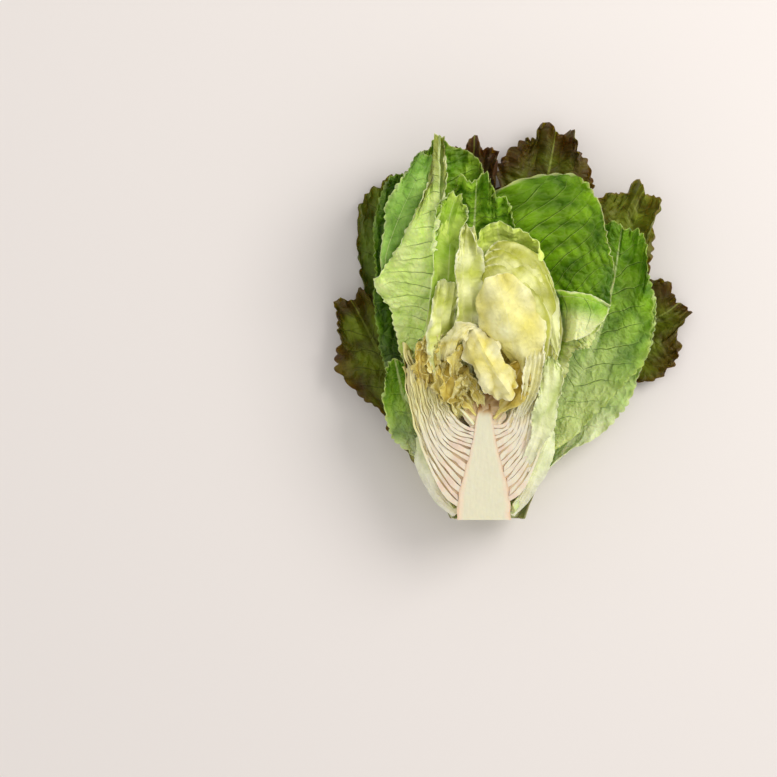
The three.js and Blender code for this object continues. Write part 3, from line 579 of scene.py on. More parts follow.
# Each leaf's place and form, in the terms of USUAL below. It starts at root, degrees round the
# core and mm along it, or at begin, and follows path, all in mm from the stem's end; wide is the
# width of its left and right half in mm, and seed picks its own waves and blotches.
HEART_LEAVES = [
    dict(
        name="heart_fold", seed=20, begin=(-9, 123, 62),
        path=[(-7, 114, 74), (-1, 101, 80), (8, 88, 78), (17, 76, 68)], wide=(12, 13), widest=0.4,
        taper=0.1, curl=((-55, -50), (-65, -60)), waves=(1.5, 7), lumps=(1.8, 30.0),
        folds=(1.0, 3.0), frill=0.8, tooth=0.5, cells=(12, 8)
    ),
    dict(
        name="heart_small", seed=21, root=(-60, 66),
        path=[(-14, 76, 59), (-19, 88, 63), (-22, 100, 59)], wide=(12, 12),
        curl=((40, 55), (35, 55)), waves=(3, 7), lumps=(1.2, 18.0), frill=1.4, cells=(10, 6),
        tones=TAN_TONES
    ),
    dict(
        name="heart_right_low", seed=22, root=(80, 64),
        path=[(13, 74, 62), (19, 88, 68), (25, 101, 66)], wide=(10, 11), waves=(1.5, 6),
        lumps=(0.5, 26.0), cells=(10, 6), tones=TAN_TONES
    ),
    dict(
        DOME_LAYER, name="heart_dome", seed=16, root=(60, 60),
        path=[(18, 84, 64), (17, 106, 79), (12, 130, 83), (6, 152, 75)], wide=(24, 27), arch=0.35,
        waves=(1.2, 6), lumps=(1.5, 46.0), folds=(0.8, 3.0), band=0.0, tones=DOME_TONES
    ),
    dict(
        DOME_LAYER, name="dome_layer_1", seed=23, root=(58, 58),
        path=[(20, 84, 60), (20, 112, 76), (12, 136, 78), (0, 157, 68)], wide=(21, 27)
    ),
    dict(
        DOME_LAYER, name="dome_layer_2", seed=24, root=(55, 56),
        path=[(23, 84, 55), (22, 114, 72), (13, 142, 74), (1, 161, 64)], wide=(21, 28)
    ),
    dict(
        DOME_LAYER, name="dome_layer_3", seed=25, root=(50, 54),
        path=[(25, 84, 50), (25, 116, 68), (15, 147, 70), (3, 166, 61)], wide=(21, 28)
    ),
    dict(
        DOME_LAYER, name="dome_layer_4", seed=29, root=(48, 52),
        path=[(27, 84, 46), (28, 118, 64), (18, 151, 66), (5, 171, 57)], wide=(22, 27)
    ),
    dict(
        name="right_flap", seed=26, begin=(28, 148, 50),
        path=[(33, 134, 57), (39, 119, 64), (45, 102, 67)], wide=(13, 8), widest=0.35, taper=0.8,
        ease=1.4, curl=((-20, -20), (-30, -30)), waves=(0.8, 6), frill=0.3, folds=(0.5, 3.0),
        lumps=(0.3, 30.0), tones=("#ebecb0", "#e8eaa4", "#ccd27a", "#f6f6cc")
    ),
    dict(
        name="heart_left_upright", seed=17, root=(-10, 62),
        path=[(-12, 92, 60), (-14, 125, 70), (-13, 155, 74), (-11, 182, 70)], wide=(5, 8.5),
        start=0.2, widest=0.8, taper=0.15, curl=((40, 60), (65, 115)), waves=(1.8, 8), frill=1.3,
        cells=(12, 6), tones=PALE_TONES
    ),
    dict(
        name="heart_left_low", seed=19, root=(-75, 60),
        path=[(-22, 82, 58), (-27, 102, 67), (-26, 126, 72), (-23, 148, 70)], wide=(8, 8),
        taper=0.2, ease=4.0, waves=(1.8, 7), cells=(12, 6), tones=PALE_TONES
    ),
    dict(
        name="heart_left_folds", seed=18, root=(-45, 60),
        path=[(-20, 84, 54), (-23, 120, 62), (-22, 160, 66), (-20, 187, 66)], wide=(12, 12),
        curl=((30, 45), (30, 50)), waves=(2.5, 8), cells=(12, 6), tones=LIME_TONES
    ),
    dict(
        name="left_fold_top", seed=27, begin=(-20, 140, 50),
        path=[(-24, 162, 62), (-22, 184, 69), (-18, 201, 70)], wide=(9, 10), taper=0.25, ease=4.0,
        curl=((20, 35), (15, 30)), waves=(2.4, 9), frill=1.9, tooth=0.9, tones=LIME_TONES
    ),
    dict(
        name="fold_tail", seed=28, begin=(-3, 118, 66),
        path=[(-10, 119, 74), (-17, 114, 73), (-22, 106, 67), (-24, 96, 59)], wide=(6, 7),
        curl=((-50, -50), (-50, -50)), waves=(1.6, 7), lumps=(1.0, 18.0)
    ),
    dict(
        CRUMPLE, name="crumple_1", seed=61, begin=(-7, 66, 51),
        path=[(-12, 74, 60), (-14, 83, 66), (-9, 91, 66)], curl=((70, 90), (80, 100)),
        waves=(1.6, 8), lumps=(0.9, 16.0)
    ),
    dict(
        CRUMPLE, name="crumple_2", seed=62, begin=(-20, 66, 48),
        path=[(-25, 76, 59), (-28, 88, 63), (-26, 98, 60)], curl=((50, 60), (60, 80)),
        lumps=(0.9, 16.0)
    ),
    dict(
        CRUMPLE, name="crumple_3", seed=63, begin=(-30, 70, 47),
        path=[(-33, 82, 57), (-35, 95, 61), (-34, 106, 60)], wide=(4, 4), curl=((50, 60), (60, 80)),
        lumps=(0.8, 15.0), tones=TAN_TONES
    ),
    dict(
        CRUMPLE, name="crumple_4", seed=64, begin=(-1, 68, 53),
        path=[(-4, 77, 63), (-9, 85, 67), (-16, 89, 64)], wide=(3.6, 4), curl=((60, 80), (60, 80)),
        waves=(1.8, 8), lumps=(0.8, 14.0)
    ),
    dict(
        CRUMPLE, name="crumple_5", seed=65, begin=(-14, 64, 50),
        path=[(-18, 71, 60), (-17, 79, 65), (-11, 83, 63)], wide=(4, 4.5),
        curl=((80, 100), (80, 100)), waves=(1.8, 8), lumps=(0.8, 14.0)
    ),
    dict(
        CRUMPLE, name="crumple_6", seed=66, begin=(-26, 84, 52),
        path=[(-31, 94, 63), (-32, 106, 66), (-28, 116, 64)], wide=(4.5, 4),
        curl=((40, 60), (60, 80)), waves=(2.2, 9), lumps=(0.9, 16.0)
    ),
    dict(
        CRUMPLE, name="crumple_7", seed=67, begin=(-36, 76, 50),
        path=[(-39, 88, 60), (-40, 100, 64), (-36, 111, 62)], wide=(4, 4.5),
        curl=((50, 60), (50, 70)), waves=(2.2, 9), tones=TAN_TONES
    ),
    dict(
        CRUMPLE, name="crumple_8", seed=68, begin=(-16, 84, 55),
        path=[(-19, 93, 66), (-16, 102, 70), (-9, 107, 68)], wide=(4.5, 4), waves=(2.0, 8)
    ),
    dict(
        CRUMPLE, name="crumple_9", seed=69, begin=(-38, 92, 52),
        path=[(-38, 102, 62), (-34, 111, 66), (-27, 115, 64)], wide=(4, 4), waves=(2.2, 8)
    ),
    dict(
        name="cream_right", seed=72, begin=(20, 60, 54),
        path=[(26, 76, 66), (30, 94, 72), (32, 112, 70)], wide=(6, 6), curl=((15, 20), (15, 20)),
        waves=(0.8, 6), folds=(1.1, 4.0), lumps=(0.3, 24.0),
        tones=("#f4efcc", "#f6f2c0", "#e8e29e", "#fbf8d4")
    ),
    dict(
        name="pale_right", seed=73, begin=(20, 22, 49),
        path=[(29, 42, 56), (36, 62, 60), (40, 84, 63), (41, 102, 62)], wide=(7, 8),
        curl=((10, 15), (5, 10)), waves=(1.8, 8), frill=1.4, folds=(0.4, 2.0), pale=0.5,
        tones=("#f4f0cc", "#e6ecae", "#cbdb86", "#f1f4c4")
    ),
    dict(
        OUTER_RIB, name="outer_rib_right", seed=74, begin=(17, 3, 38),
        path=[(25, 14, 45), (32, 29, 50), (38, 44, 50), (43, 58, 42)], wide=(3, 11),
        curl=((0, 0), (-45, -30)), face=(0.55, 0.0, 0.83),
        tones=("#f4f1d2", "#e8efb8", "#cfe096", "#f2f6d0")
    ),
    dict(
        OUTER_RIB, name="outer_rib_left", seed=75, begin=(-17, 3, 38),
        path=[(-26, 13, 44), (-32, 26, 49), (-37, 40, 49), (-41, 52, 42)], wide=(11, 3),
        curl=((-45, -30), (0, 0)), face=(-0.55, 0.0, 0.83),
        tones=("#f5efd4", "#eff0c6", "#d3e39c", "#f2f6d0")
    ),
    dict(
        name="heart_bed", seed=70, begin=(0, 82, 50),
        path=[(7, 94, 60), (10, 108, 66), (6, 122, 68)], wide=(13, 13),
        curl=((-15, -15), (-15, -15)), waves=(1.2, 6), folds=(1.2, 4.0),
        tones=("#e6d68c", "#e0cf78", "#bda842", "#f4ecb4")
    ),
]


def root_of(leaf):
    """Where a leaf starts, and the way its inner side faces there: its own beginning, or where it
    leaves the core, at its azimuth and height, facing the core's axis."""
    if "begin" in leaf:
        return np.array(leaf["begin"], float), np.array([0.0, 0.0, 1.0])
    azimuth, along = leaf["root"]
    out = np.array([np.sin(np.radians(azimuth)), 0.0, -np.cos(np.radians(azimuth))])
    clear = core_radius(along) + leaf["rib"][1] + GAP
    return np.array([0.0, along, cut_height(along)]) + clear * out, -out


def midrib(leaf, share):
    """The midrib at each share of its length: place, way along and the side it faces. Its curve
    goes through the root and the path, on each span a cubic whose end slopes are half the chord
    between the points on either side. It faces the core at first, then the leaf's own way."""
    root, inward = root_of(leaf)
    stops = np.vstack([root, leaf["path"]])
    stops = np.vstack([2 * stops[0] - stops[1], stops, 2 * stops[-1] - stops[-2]])
    spans = len(stops) - 3
    at = np.clip(share, 0.0, 1.0) * spans
    i = np.minimum(at.astype(int), spans - 1)
    t = (at - i)[..., None]
    p, q = stops[i + 1], stops[i + 2]
    leave, arrive = (q - stops[i]) / 2, (stops[i + 3] - p) / 2
    place = (2 * t**3 - 3 * t**2 + 1) * p + (t**3 - 2 * t**2 + t) * leave
    place = place + (3 * t**2 - 2 * t**3) * q + (t**3 - t**2) * arrive
    way = 6 * (t**2 - t) * (p - q) + (3 * t**2 - 4 * t + 1) * leave + (3 * t**2 - 2 * t) * arrive
    way = way / np.linalg.norm(way, axis=-1, keepdims=True)
    own = np.array(leaf["face"]) / np.linalg.norm(leaf["face"])
    face = mix(inward, own, smooth(np.clip(share, 0.0, 1.0) * 1.6)[..., None])
    face = face - (face * way).sum(-1, keepdims=True) * way
    return place, way, face / np.linalg.norm(face, axis=-1, keepdims=True)


def half_width(leaf, u, v):
    """Half the blade's width at u, left where v is below 0: it widens smoothly from the rib,
    from start to its widest place, then loses taper of that with the way to the top to the
    power ease."""
    side = np.where(v < 0, 0, 1)
    wide, taper = (np.broadcast_to(leaf[key], 2)[side] for key in ("wide", "taper"))
    at, start = leaf["widest"], leaf["start"]
    below = mix(leaf["rib"][0], wide, smooth((u - start) / (at - start)))
    above = wide * (1.0 - taper * np.maximum((u - at) / (1.0 - at), 0.0) ** leaf["ease"])
    return np.where(u < at, below, above)


def blade_points(leaf, u, v, frill=0.0, tooth=0.0, notch=0.0):
    """The blade's middle surface, its place on the flat blade and how near each point is to the
    wavy rim. u runs from root to top and v from margin to margin. The blade is swept along the
    midrib and turns up by keel and curl, summed over twelve steps out from the midrib. Sine
    waves ride on it towards the rim, with finer frills on them. The teeth are a rectified sine
    along the margin, pitch mm apart. The notch draws the top back over the right half, and
    fades to the left as a bell curve."""
    side = np.where(v < 0, 0, 1)
    size = np.abs(v)
    width = half_width(leaf, u, v)
    length = leaf["length"]
    s = u - leaf["arch"] * np.array(leaf["wide"])[side] / length * v * v * u * u
    s = s - notch / length * u**6 * np.exp(-((np.minimum(v, 0.0) / 0.22) ** 2))
    place, way, face = midrib(leaf, s)
    right = np.cross(way, face)
    keel = np.radians(leaf["keel"]) * smooth(s * 2)
    curl = np.radians(np.array(leaf["curl"]))[side]
    curl = mix(curl[..., 0], curl[..., 1], s)
    out, lift = 0.0, 0.0
    for step in (np.arange(12) + 0.5) / 12:
        angle = keel + curl * (step * size)
        out = out + np.cos(angle) * width * size / 12
        lift = lift + np.sin(angle) * width * size / 12
    angle = keel + curl * size
    sign = np.where(v < 0, -1.0, 1.0)
    normal = face * np.cos(angle)[..., None] - right * (sign * np.sin(angle))[..., None]
    height, count = leaf["waves"]
    seed = leaf["seed"]
    around = np.arctan2(v, (s - 0.5) * 2.2)
    rim = (1.0 - (1.0 - size**2.5) * (1.0 - u**6)) * smooth(u * 2.2)
    swell = 0.7 + 0.3 * np.sin(2 * around + phase(seed, 2))
    big = np.sin(count * around + phase(seed, 1)) * swell
    small = 0.45 * np.sin(2.3 * count * around + phase(seed, 3)) * rim
    spray = 0.6 * height * rim * np.cos(count * around + phase(seed, 1))
    fine = np.sin(5.3 * count * around + phase(seed, 4) + 2.0 * np.sin(3 * around + seed))
    fine = fine + 0.6 * np.sin(9.1 * count * around + phase(seed, 5))
    up = height * rim * (big + small)
    lift = lift + frill * rim**3 * fine
    along_rim = s * length + width * (1.0 - size)
    saw = 2.0 * along_rim / leaf["pitch"] + 0.4 * np.sin(0.21 * along_rim + seed)
    uneven = 1.0 + 0.4 * np.sin(0.13 * along_rim + 2 * seed)
    spray = spray + tooth * uneven * rim**8 * (np.abs(np.sin(np.pi * saw / 2.0)) - 0.6)
    spray = spray + 0.2 * frill * rim**3 * np.cos(5.3 * count * around + phase(seed, 4))
    spot = place + right * (sign * out + spray * np.sin(around))[..., None]
    spot = spot + way * (spray * np.cos(around))[..., None]
    spot = spot + face * lift[..., None] + normal * up[..., None]
    return spot, np.stack([v * width, s * length], -1), rim


THIN, THICK = 0.32, 0.6  # mm, thickness of a blade at its margin and inside it
ROW_MM, COLUMN_MM = 1.15, 1.4  # mm between the points of a blade's grid, along and across it
ROW_EASE = 0.85  # the rows lie at even shares to this power, a little closer towards the top
COLUMN_EASE = 0.85  # the columns likewise, closer towards the margins
CELL_EASE = 0.8  # and those of the coarse grid that a blade is bent in
USUAL = dict(
    rib=(6.0, 1.0),  # mm, half width and thickness of the midrib at the root
    start=0.0,  # share of the length where the blade starts to widen
    widest=0.66,  # share of the length where the blade is widest
    taper=0.3,  # how much narrower its top is, or that of its left and of its right half
    ease=2.0,  # 1 narrows it evenly, more keeps it wide for longer
    arch=0.6,  # how far the top's corners fall back, in half widths
    keel=0.0,  # degrees by which each half turns up at the midrib
    curl=((15, 25), (15, 25)),  # degrees that each half turns up out to the margin, root and top
    waves=(4, 7),  # mm, height of the rim's waves, and how many go round
    face=(0.0, 0.0, 1.0),  # the way the inner side of the blade's top faces
    reach=26.0,  # mm, furthest that it was bent back to clear what lies inside it
    cells=(11, 8),  # cells along and across the blade where it was bent
    pitch=4.6,  # mm from tooth to tooth
    tooth=1.3,  # mm, how far a tooth stands out
    frill=1.6,  # mm, height of the fine frills on the waves
    notch=0.0,  # mm by which the top falls back at the midrib and on its right half
    side_veins=(13.0, 0.9),  # mm between side veins, and how steeply they climb
    puff=0.8,  # mm, how far the blade puffs up between its side veins
    folds=(0.0, 4.0),  # mm, height of soft folds along the blade, and how many lie across it
    lumps=(1.0, 15.0),  # mm, height and width of the blisters
    shade=0.5,  # 0 the lightest leaf of its kind, 1 the darkest
    pale=0.42,  # share of the length over which the pale root fades out
    blush=0.0,  # share of red pigment at the margin
    band=0.0,  # share of the deep tone in a band just inside the margin, painted shade between nested layers
    lobe=None,  # colour of the right half, beyond the midrib
    tip=None,  # colour of the top
)


def bunched(count, ease):
    """count + 1 places from -1 to 1: even places, each with its size to the power ease."""
    even = 2.0 * np.arange(count + 1) / count - 1.0
    return np.sign(even) * np.abs(even) ** ease


def bend_of(leaf, inner, u_line, v_line):
    """How far each point of the fine grid moves so that the blade clears inner. The blade is bent
    as a coarse grid, and its move is spread over the fine one."""
    rows, columns = leaf["cells"]
    v_few = bunched(columns, CELL_EASE)
    u_net, v_net = np.meshgrid((np.arange(rows + 1) / rows) ** ROW_EASE, v_few, indexing="ij")
    few = blade_points(leaf, u_net, v_net)[0]
    x = v_few * half_width(leaf, u_net, 1.0) / leaf["rib"][0]
    thick = BLADE / 2 + leaf["rib"][1] * (1 - u_net) ** 1.5 * np.exp(-1.5 * x * x)
    bent = few
    for _ in range(2 if len(inner) else 0):
        bent = bent_clear(bent, thick, inner, hold=0, reach=leaf["reach"])
    across = (np.sign(v_line) * np.abs(v_line) ** (1 / CELL_EASE) + 1.0) / 2.0 * columns
    along = u_line ** (1 / ROW_EASE) * rows
    shares = spread(rows, along), bent - few, spread(columns, across)
    return np.einsum("ip,pqk,jq->ijk", *shares)


def relief_of(leaf, x, y, count, u, v):
    """The blade's relief: it puffs up between its side veins as a rectified sine of their count,
    rises in blisters, which are the size of blotches and so meet in sharp valleys, and bends in
    soft folds along its length. Also the blisters alone."""
    seed = leaf["seed"]
    beside = 1.0 - np.exp(-((x / 5.0) ** 2))
    puffed = np.abs(np.sin(np.pi * count)) ** 0.7 * beside * smooth(u * 3) - 0.5
    high, wide = leaf["lumps"]
    lumps = np.abs(blotches(x, 0.7 * y, seed + 80, wide))
    lumps = 2.4 * (lumps + 0.5 * np.abs(blotches(x, y, seed + 81, 0.5 * wide))) - 0.7
    lift = leaf["puff"] * puffed + high * lumps * smooth(u * 4)
    fold_high, fold_count = leaf["folds"]
    bend = fold_count * np.pi * (v + 0.25 * np.sin(3.0 * u + seed) + 0.35 * u)
    ridge = 1.0 - 2.0 * np.abs(np.sin(bend / 2.0 + phase(seed, 6))) ** 0.8
    return lift + fold_high * ridge * smooth(u * 3), lumps


def leaf_sheet(leaf, inner):
    """One leaf's front and back grids, place on the flat blade, veins, rim, u and blisters. Its
    middle surface is bent clear of inner and takes its relief; the blade thins out towards the
    margin, and the midrib thickens its back."""
    line = midrib(leaf, np.linspace(0.0, 1.0, 201))[0]
    leaf["length"] = np.linalg.norm(np.diff(line, axis=0), axis=1).sum()
    rows = int(np.clip(leaf["length"] / ROW_MM, 40, 210))
    columns = 2 * int(np.clip(sum(leaf["wide"]) / (2.0 * COLUMN_MM), 10, 40))
    u_line = (np.arange(rows + 1) / rows) ** ROW_EASE
    v_line = bunched(columns, COLUMN_EASE)
    u, v = np.meshgrid(u_line, v_line, indexing="ij")
    middle, blade_mm, rim = blade_points(leaf, u, v, leaf["frill"], leaf["tooth"], leaf["notch"])
    middle = middle + bend_of(leaf, inner, u_line, v_line)
    x, y = blade_mm[..., 0], blade_mm[..., 1]
    width = half_width(leaf, u, v)
    gap, climb = leaf["side_veins"]
    bow = 0.35 * np.abs(x) ** 2 / np.maximum(width, 8.0)
    count = (y - climb * np.abs(x) + bow + 2.5 * blotches(x, y, leaf["seed"], 40.0)) / gap
    rib_wide = leaf["rib"][0] * (0.09 + (1.0 - u) ** 1.4)
    to_margin = np.minimum(width * (1 - np.abs(v)), leaf["length"] * (1 - u))
    veins = np.stack([count, np.abs(x) / rib_wide, to_margin], -1)
    lift, lumps = relief_of(leaf, x, y, count, u, v)
    middle = middle + lift[..., None] * normals(middle, 5)
    rib = leaf["rib"][1] * (1 - u) ** 1.5 * np.exp(-1.5 * (x / leaf["rib"][0]) ** 2)
    rib = rib + 0.7 * (1 - u) * np.exp(-((x / (1.0 + 1.6 * (1 - u))) ** 2))
    half = mix(THIN / 2, THICK / 2, smooth(to_margin / 4.0))
    middle[..., 2] = np.maximum(middle[..., 2], half + rib + 0.05)
    facing = normals(middle, 1)
    front = middle + half[..., None] * facing
    behind = middle - (half + rib)[..., None] * facing
    # Nothing passes the stem's trimmed end or the table.
    front[..., 1:] = np.maximum(front[..., 1:], [0.0, 0.3])
    behind[..., 1:] = np.maximum(behind[..., 1:], [0.0, 0.05])
    return front, behind, blade_mm, veins, rim, u, lumps


FLAT = [("noise_dimensions", "2D")]
EASED = [("interpolation_type", "SMOOTHSTEP")]
TIMES = [("operation", "MULTIPLY")]
TIMES_PLUS = [("operation", "MULTIPLY_ADD")]
TO_AND_FRO = [("operation", "PINGPONG")]
COLOURS = [("data_type", "RGBA")]
NEAREST_EDGE = [("voronoi_dimensions", "2D"), ("feature", "DISTANCE_TO_EDGE")]


def leaf_lamina(name, rib, vein, crease, shown, net_mm, gloss, relief_mm, glow):
    """A leaf blade: pigment painted on the mesh, mottled in soft clouds; the midrib; side veins
    from the vein count, each with a painted shadow in the crease on its lower side, fading out
    at the margin; a net of finer veins about net_mm apart; puffs between them as a bump. shown
    is how strongly veins and painted crease shadows show, from 0 to 1, and glow how far light
    soaks in, red, green and blue.
    A real net is finer, 2 to 4 mm, and is drawn as coarse as it needs to show."""
    material = new_material(name)
    add = partial(add_node, material)
    pigment = add("Attribute", [("attribute_name", "pigment")])
    veins = add("Attribute", [("attribute_name", "veins")]).outputs["Vector"]
    count, from_rib, to_margin = add("SeparateXYZ", Vector=veins).outputs
    blade = add("UVMap", [("uv_map", "blade")])
    rib, vein, crease = ((*linear(tone), 1.0) for tone in (rib, vein, crease))

    # Side veins: how far each point is from the nearest one, and from the crease below it, where a
    # shadow is painted.
    slow = add("TexNoise", FLAT, Vector=blade, Scale=0.05, Detail=2.0)
    sway = add("Math", TIMES_PLUS, n0=slow, n1=0.6, n2=count)
    beside = add("Math", TO_AND_FRO, n0=sway, n1=0.5)
    moved = add("Math", n0=sway, n1=0.045)
    below = add("Math", TO_AND_FRO, n0=moved, n1=0.5)
    half = add("MapRange", n0=to_margin, n1=0.0, n2=40.0, n3=0.012, n4=0.06)
    grown = add("MapRange", EASED, n0=to_margin, n1=1.0, n2=12.0, n3=0.0, n4=1.0)
    line = add("MapRange", EASED, n0=beside, n1=0.0, n2=half, n3=grown, n4=0.0)
    fold = add("MapRange", EASED, n0=below, n1=0.0, n2=half, n3=grown, n4=0.0)
    on_rib = add("MapRange", EASED, n0=from_rib, n1=0.3, n2=1.1, n3=shown, n4=0.0)

    # The net of finer veins: the edges of cells, bent by a slow drift.
    drift = add("TexNoise", FLAT, Vector=blade, Scale=0.16, Detail=3.0)
    bent = add("VectorMath", TIMES_PLUS, n0=drift.outputs["Color"], n1=(7.0, 7.0, 0.0), n2=blade)
    net = add("TexVoronoi", NEAREST_EDGE, Vector=bent, Scale=1.0 / net_mm)
    on_net = add("MapRange", EASED, n0=net, n1=0.0, n2=0.14, n3=0.16 * shown, n4=0.0)

    # The colour: clouds over the pigment, then net, painted crease shadows, side veins and midrib
    # over that.
    clouds = add("TexNoise", FLAT, Vector=blade, Scale=0.08, Detail=4.0, Roughness=0.55)
    shade = add("Math", TIMES_PLUS, n0=clouds, n1=0.8, n2=0.6)
    mottled = add("VectorMath", SCALED, n0=pigment, Scale=shade)
    # Painted shadow: a dark line in the crease below each side vein.
    on_crease_shadow = add("Math", TIMES, n0=fold, n1=0.85 * shown)
    on_line = add("Math", TIMES, n0=line, n1=0.5 * shown)
    colour = mottled
    for share, tone in ((on_net, vein), (on_crease_shadow, crease), (on_line, vein), (on_rib, rib)):
        colour = add("Mix", COLOURS, n0=share, n6=colour, n7=tone).outputs[2]

    # The relief: puffs between the net's veins, fine wrinkles on them, and grooves at the creases.
    fine = add("TexNoise", FLAT, Vector=blade, Scale=0.35, Detail=4.0)
    puffs = add("MapRange", EASED, n0=net, n1=0.0, n2=0.55, n3=0.0, n4=1.0)
    wrinkled = add("Math", TIMES_PLUS, n0=fine, n1=1.1, n2=puffs)
    grooved = add("Math", TIMES_PLUS, n0=fold, n1=-0.9 * shown, n2=wrinkled)
    relief = add("Bump", Height=grooved, Strength=0.7, Distance=relief_mm / 1000.0)
    sheen = add("MapRange", n0=clouds, n1=0.3, n2=0.7, n3=gloss - 0.05, n4=gloss + 0.1)
    lamina = add(
        "BsdfPrincipled", Base_Color=colour, Roughness=sheen, IOR=1.42, Normal=relief,
        Specular_IOR_Level=0.3, Subsurface_Weight=0.3, Subsurface_Radius=glow,
        Subsurface_Scale=0.003,
    )
    add("OutputMaterial", Surface=lamina)
    return material


def leaf_pigment(leaf, blade_mm, veins, rim, u, lumps):
    """Raised blisters take the light tone and the valleys between them the deep one, painted shade
    in the valleys, both drifting in blotches; lobe and tip then take theirs, and a band just inside
    the margin the deep one, painted shade between nested layers. The root's pale colour fades out
    over the share pale of the length, a thin uneven line along the margin takes its own tone,
    and blush stains the rim red."""
    root_tone, light, deep, margin = leaf["tones"]
    x, y = blade_mm[..., 0], blade_mm[..., 1]
    to_margin = veins[..., 2]
    spots = blotches(x, y, leaf["seed"] + 70, 26.0)
    # Painted shade: the deep tone gathers in the valleys between the blisters; the leaf's shade and
    # its blotches shift it.
    low = leaf["shade"] + 0.5 * spots - 0.55 * (lumps - 0.1)
    colour = tint(linear(light), deep, low.clip(0.0, 1.0))
    if leaf["lobe"]:
        colour = tint(colour, leaf["lobe"], smooth((x - 3.0) / 13.0))
    if leaf["tip"]:
        colour = tint(colour, leaf["tip"], smooth((u - 0.82) / 0.16))
    # Painted shade: a band of the deep tone just inside the margin, where nested layers meet.
    band = leaf["band"] * smooth(to_margin - 1.0) * smooth((9.0 - to_margin) / 6.0)
    colour = tint(colour, deep, band)
    root = 1.0 - smooth((u - 0.1) / leaf["pale"] + 0.12 * spots)
    colour = tint(colour, root_tone, root)
    fine = blotches(x, y, leaf["seed"] + 71, 9.0)
    thin = 1.0 - smooth(to_margin / (1.1 + 1.8 * fine.clip(-0.5, 1.0)))
    colour = tint(colour, margin, 0.65 * thin)
    if leaf["blush"]:
        stain = rim * 1.5 - 0.9 + leaf["blush"] + 0.5 * blotches(x, y, leaf["seed"], 30.0)
        colour = tint(colour, RED_STAIN, smooth(stain) * min(1.0, leaf["blush"] * 1.6))
    return colour


def add_leaf(entry, usual, inside, material):
    """Makes one leaf piece, bent clear of the CAD nodes that lie inside it. Where a CAD node has
    its name, it takes that node's place."""
    leaf = {**USUAL, **usual, **entry}
    inner = np.concatenate([np.zeros((0, 3, 3)), *(node_triangles(node) for node in inside)])
    front, behind, blade_mm, veins, *look = leaf_sheet(leaf, inner)
    pigment = leaf_pigment(leaf, blade_mm, veins, *look)
    name = leaf["name"] + "_blade"
    piece = closed_sheet(name, front, behind, blade_mm, pigment, material, veins)
    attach(piece, "root")
    if leaf["name"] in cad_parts:
        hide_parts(leaf["name"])


# Young lettuce lamina: thin and waxy-soft, with pale veins that hardly show on the yellow, and a
# faint painted shadow in the crease below each side vein.
young_lamina = leaf_lamina(
    "young leaf lamina", rib="#f4f0c4", vein="#f8f3d2", crease="#c9b85a", shown=0.2, net_mm=6.0,
    gloss=0.4, relief_mm=0.5, glow=(1.0, 0.95, 0.5),
)

HEART_USUAL = dict(
    rib=(2.2, 1.0), reach=10.0, taper=0.55, ease=3.0, pitch=4.0, tooth=0.4, frill=0.9,
    side_veins=(7.0, 0.8), puff=0.3, folds=(0.9, 3.0), lumps=(0.8, 26.0), pale=0.3,
    tones=HEART_TONES,
)
inside = []
for entry in HEART_LEAVES:
    rooted = "root" in entry  # the others are small, and lie where they begin
    add_leaf(entry, HEART_USUAL, inside if rooted else [], young_lamina)
    if entry["name"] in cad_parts:
        inside.append(entry["name"])

# ---------------------------------------------------------------- green leaves
# The leaves that wrap the heart: broad, blistered and glossy-soft, bright green where light
# reached them, pale at the root, with a finely toothed, ruffled, lighter margin.

